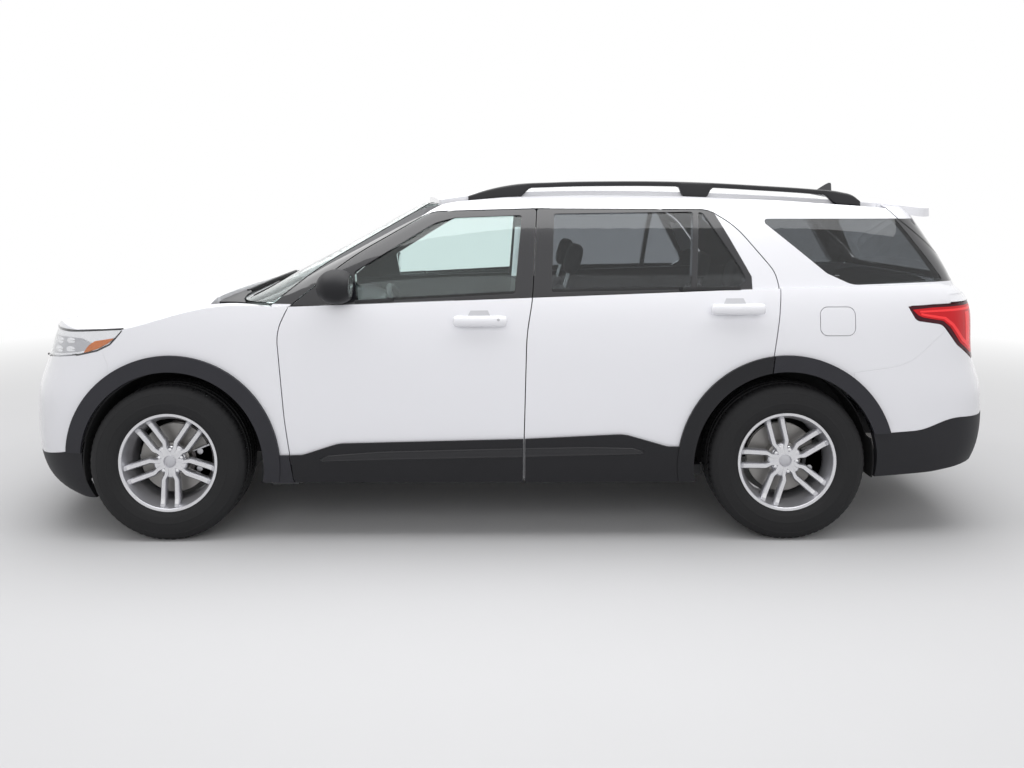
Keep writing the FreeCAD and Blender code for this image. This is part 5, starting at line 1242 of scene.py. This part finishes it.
NODE_FINISHES = {
    "side": ("body_side_left", "body_side_right"),
    "door": ("door_front_left", "door_front_right"),
    "rear_door": ("door_rear_left", "door_rear_right"),
    "paint": ("hood", "fenders", "bumper_covers", "fuel_door", "roof_panel"),
    "gate": ("liftgate",),
    "trim": ("arch_trim",),
    "valance": ("lower_valances",),
    "door_trim_painted_shade": [f"door_{end}_{label}_trim" for end in ENDS for label, side in SIDES],
    "satin": ("cowl_panel", "grille"),
    "dull": ("wheel_liners", "radiator"),
    "clear": ("windshield", "door_front_left_glass", "door_front_right_glass"),
    "dark": ("liftgate_glass", "door_rear_left_glass", "door_rear_right_glass"),
    "quarter": ("quarter_glass",),
    "frame": ("floor_pan", "axle_frames"),
    "iron": ("engine_block", "knuckle_front_left", "knuckle_front_right"),
    "steel": ("exhaust",),
}


class SUV_OT_finishes(bpy.types.Operator):
    """Paint, glass, plastic and metal on the CAD nodes"""
    bl_idname = "suv.finishes"
    bl_label = "CAD finishes"

    def execute(self, context):
        make_materials(context.scene)
        finishes = {name: finish for finish, names in NODE_FINISHES.items() for name in names}
        for name in NODES:
            slots = NODES[name].data.materials
            slots.clear()
            slots.append(MATERIALS[finishes.get(name, "plastic")])
        return {"FINISHED"}


# Stage

FLOOR_HALF, FADE_START, FADE_RUN = 40, 3.4, 5.0
CAMERA_PLACE, CAMERA_TURN = (0.01, -5.416, 1.639), (math.pi / 2 - 0.035, 0.0, -0.0053)
FOCAL, SENSOR, SHIFT_Y = 32.38, 36.0, -0.1426


class SUV_OT_stage(bpy.types.Operator):
    """Plain pale floor, soft lamps, surroundings and the camera"""
    bl_idname = "suv.stage"
    bl_label = "Stage"

    def execute(self, context):
        scene = context.scene
        settings = scene.suv_stage
        scene.view_settings.view_transform = "Standard"
        self.floor(settings)
        self.surroundings(scene, settings)
        self.lamp("overhead", (0.0, -0.4, 4.6), 0, (9.0, 5.0), settings.key_power)
        for name, y, turn in (("by_camera", -7.0, 64), ("behind", 7.0, -64)):
            self.lamp(name, (0.0, y, 3.4), turn, (8.0, 3.0), settings.fill_power).visible_glossy = False
        self.camera(scene)
        return {"FINISHED"}

    def floor(self, settings):
        """Pale floor that fades to white between FADE_START and FADE_START + FADE_RUN from the car."""
        s, t = mesh_grid(3, 3)
        plane = points_at((2 * s - 1) * FLOOR_HALF, (2 * t - 1) * FLOOR_HALF, 0.0)
        mesh = bpy.data.meshes.new("floor")
        mesh.from_pydata(plane.reshape(-1, 3).tolist(), [], grid_faces(3, 3).tolist())
        graph = Graph(bpy.data.materials.new("floor"))
        point = graph.point()
        colour = tuple(settings.floor)
        base = graph.mix(graph.noise(2.0, 5.0, point), shade(colour, 0.98), colour)
        shader = graph.node("ShaderNodeBsdfPrincipled", inputs={"Base Color": base, "Roughness": 0.85})
        away = graph.node("ShaderNodeVectorMath", {"operation": "LENGTH"}, {0: point}, "Value")
        far = ((away - FADE_START) * (1 / FADE_RUN)).least(1.0).most(0.0)
        white = graph.node("ShaderNodeEmission", inputs={"Color": (1.0, 1.0, 1.0), "Strength": 1.0})
        both = graph.node("ShaderNodeMixShader", inputs={0: far * graph.seen(), 1: shader, 2: white})
        graph.node("ShaderNodeOutputMaterial", inputs={"Surface": both})
        mesh.materials.append(graph.owner)
        floor = bpy.data.objects.new("floor", mesh)
        bpy.context.scene.collection.objects.link(floor)

    def surroundings(self, scene, settings):
        """White all round to the eye, and dimmer as a light."""
        scene.world = bpy.data.worlds.new("surroundings")
        graph = Graph(scene.world)
        strength = graph.seen() * (1.0 - settings.daylight) + settings.daylight
        white = graph.node("ShaderNodeBackground", inputs={"Color": (1.0, 1.0, 1.0), "Strength": strength})
        graph.node("ShaderNodeOutputWorld", inputs={"Surface": white})

    def lamp(self, name, place, turn_deg, size, power):
        light = bpy.data.lights.new(name, "AREA")
        light.shape = "RECTANGLE"
        light.size, light.size_y = size
        light.energy = power
        lamp = bpy.data.objects.new(name, light)
        lamp.location = place
        lamp.rotation_euler = (math.radians(turn_deg), 0.0, 0.0)
        bpy.context.scene.collection.objects.link(lamp)
        return lamp

    def camera(self, scene):
        lens = bpy.data.cameras.new("camera")
        lens.sensor_fit = "HORIZONTAL"
        lens.sensor_width, lens.lens, lens.shift_y, lens.clip_end = SENSOR, FOCAL, SHIFT_Y, 200.0
        camera = bpy.data.objects.new("camera", lens)
        camera.location = CAMERA_PLACE
        camera.rotation_euler = CAMERA_TURN
        scene.collection.objects.link(camera)
        scene.camera = camera


class SUV_PT_panel(bpy.types.Panel):
    """Buttons for the pieces of the car, in their order"""
    bl_label = "Family SUV"
    bl_space_type = "VIEW_3D"
    bl_region_type = "UI"
    bl_category = "Family SUV"

    def draw(self, context):
        for operator in OPERATORS:
            self.layout.operator(operator.bl_idname)


OPERATORS = (SUV_OT_finishes, SUV_OT_wheels, SUV_OT_lamps, SUV_OT_trim, SUV_OT_cabin, SUV_OT_stage)


def register():
    for group in GROUPS.values():
        bpy.utils.register_class(group)
    for cls in OPERATORS + (SUV_PT_panel,):
        bpy.utils.register_class(cls)
    for name, group in GROUPS.items():
        setattr(bpy.types.Scene, name, bpy.props.PointerProperty(type=group))


def unregister():
    for name in GROUPS:
        delattr(bpy.types.Scene, name)
    for cls in (SUV_PT_panel,) + OPERATORS[::-1] + tuple(GROUPS.values())[::-1]:
        bpy.utils.unregister_class(cls)


def main():
    register()
    bpy.ops.suv.finishes()
    bpy.ops.suv.wheels()
    bpy.ops.suv.lamps()
    bpy.ops.suv.trim()
    bpy.ops.suv.cabin()
    bpy.ops.suv.stage()


if __name__ == "__main__":
    main()
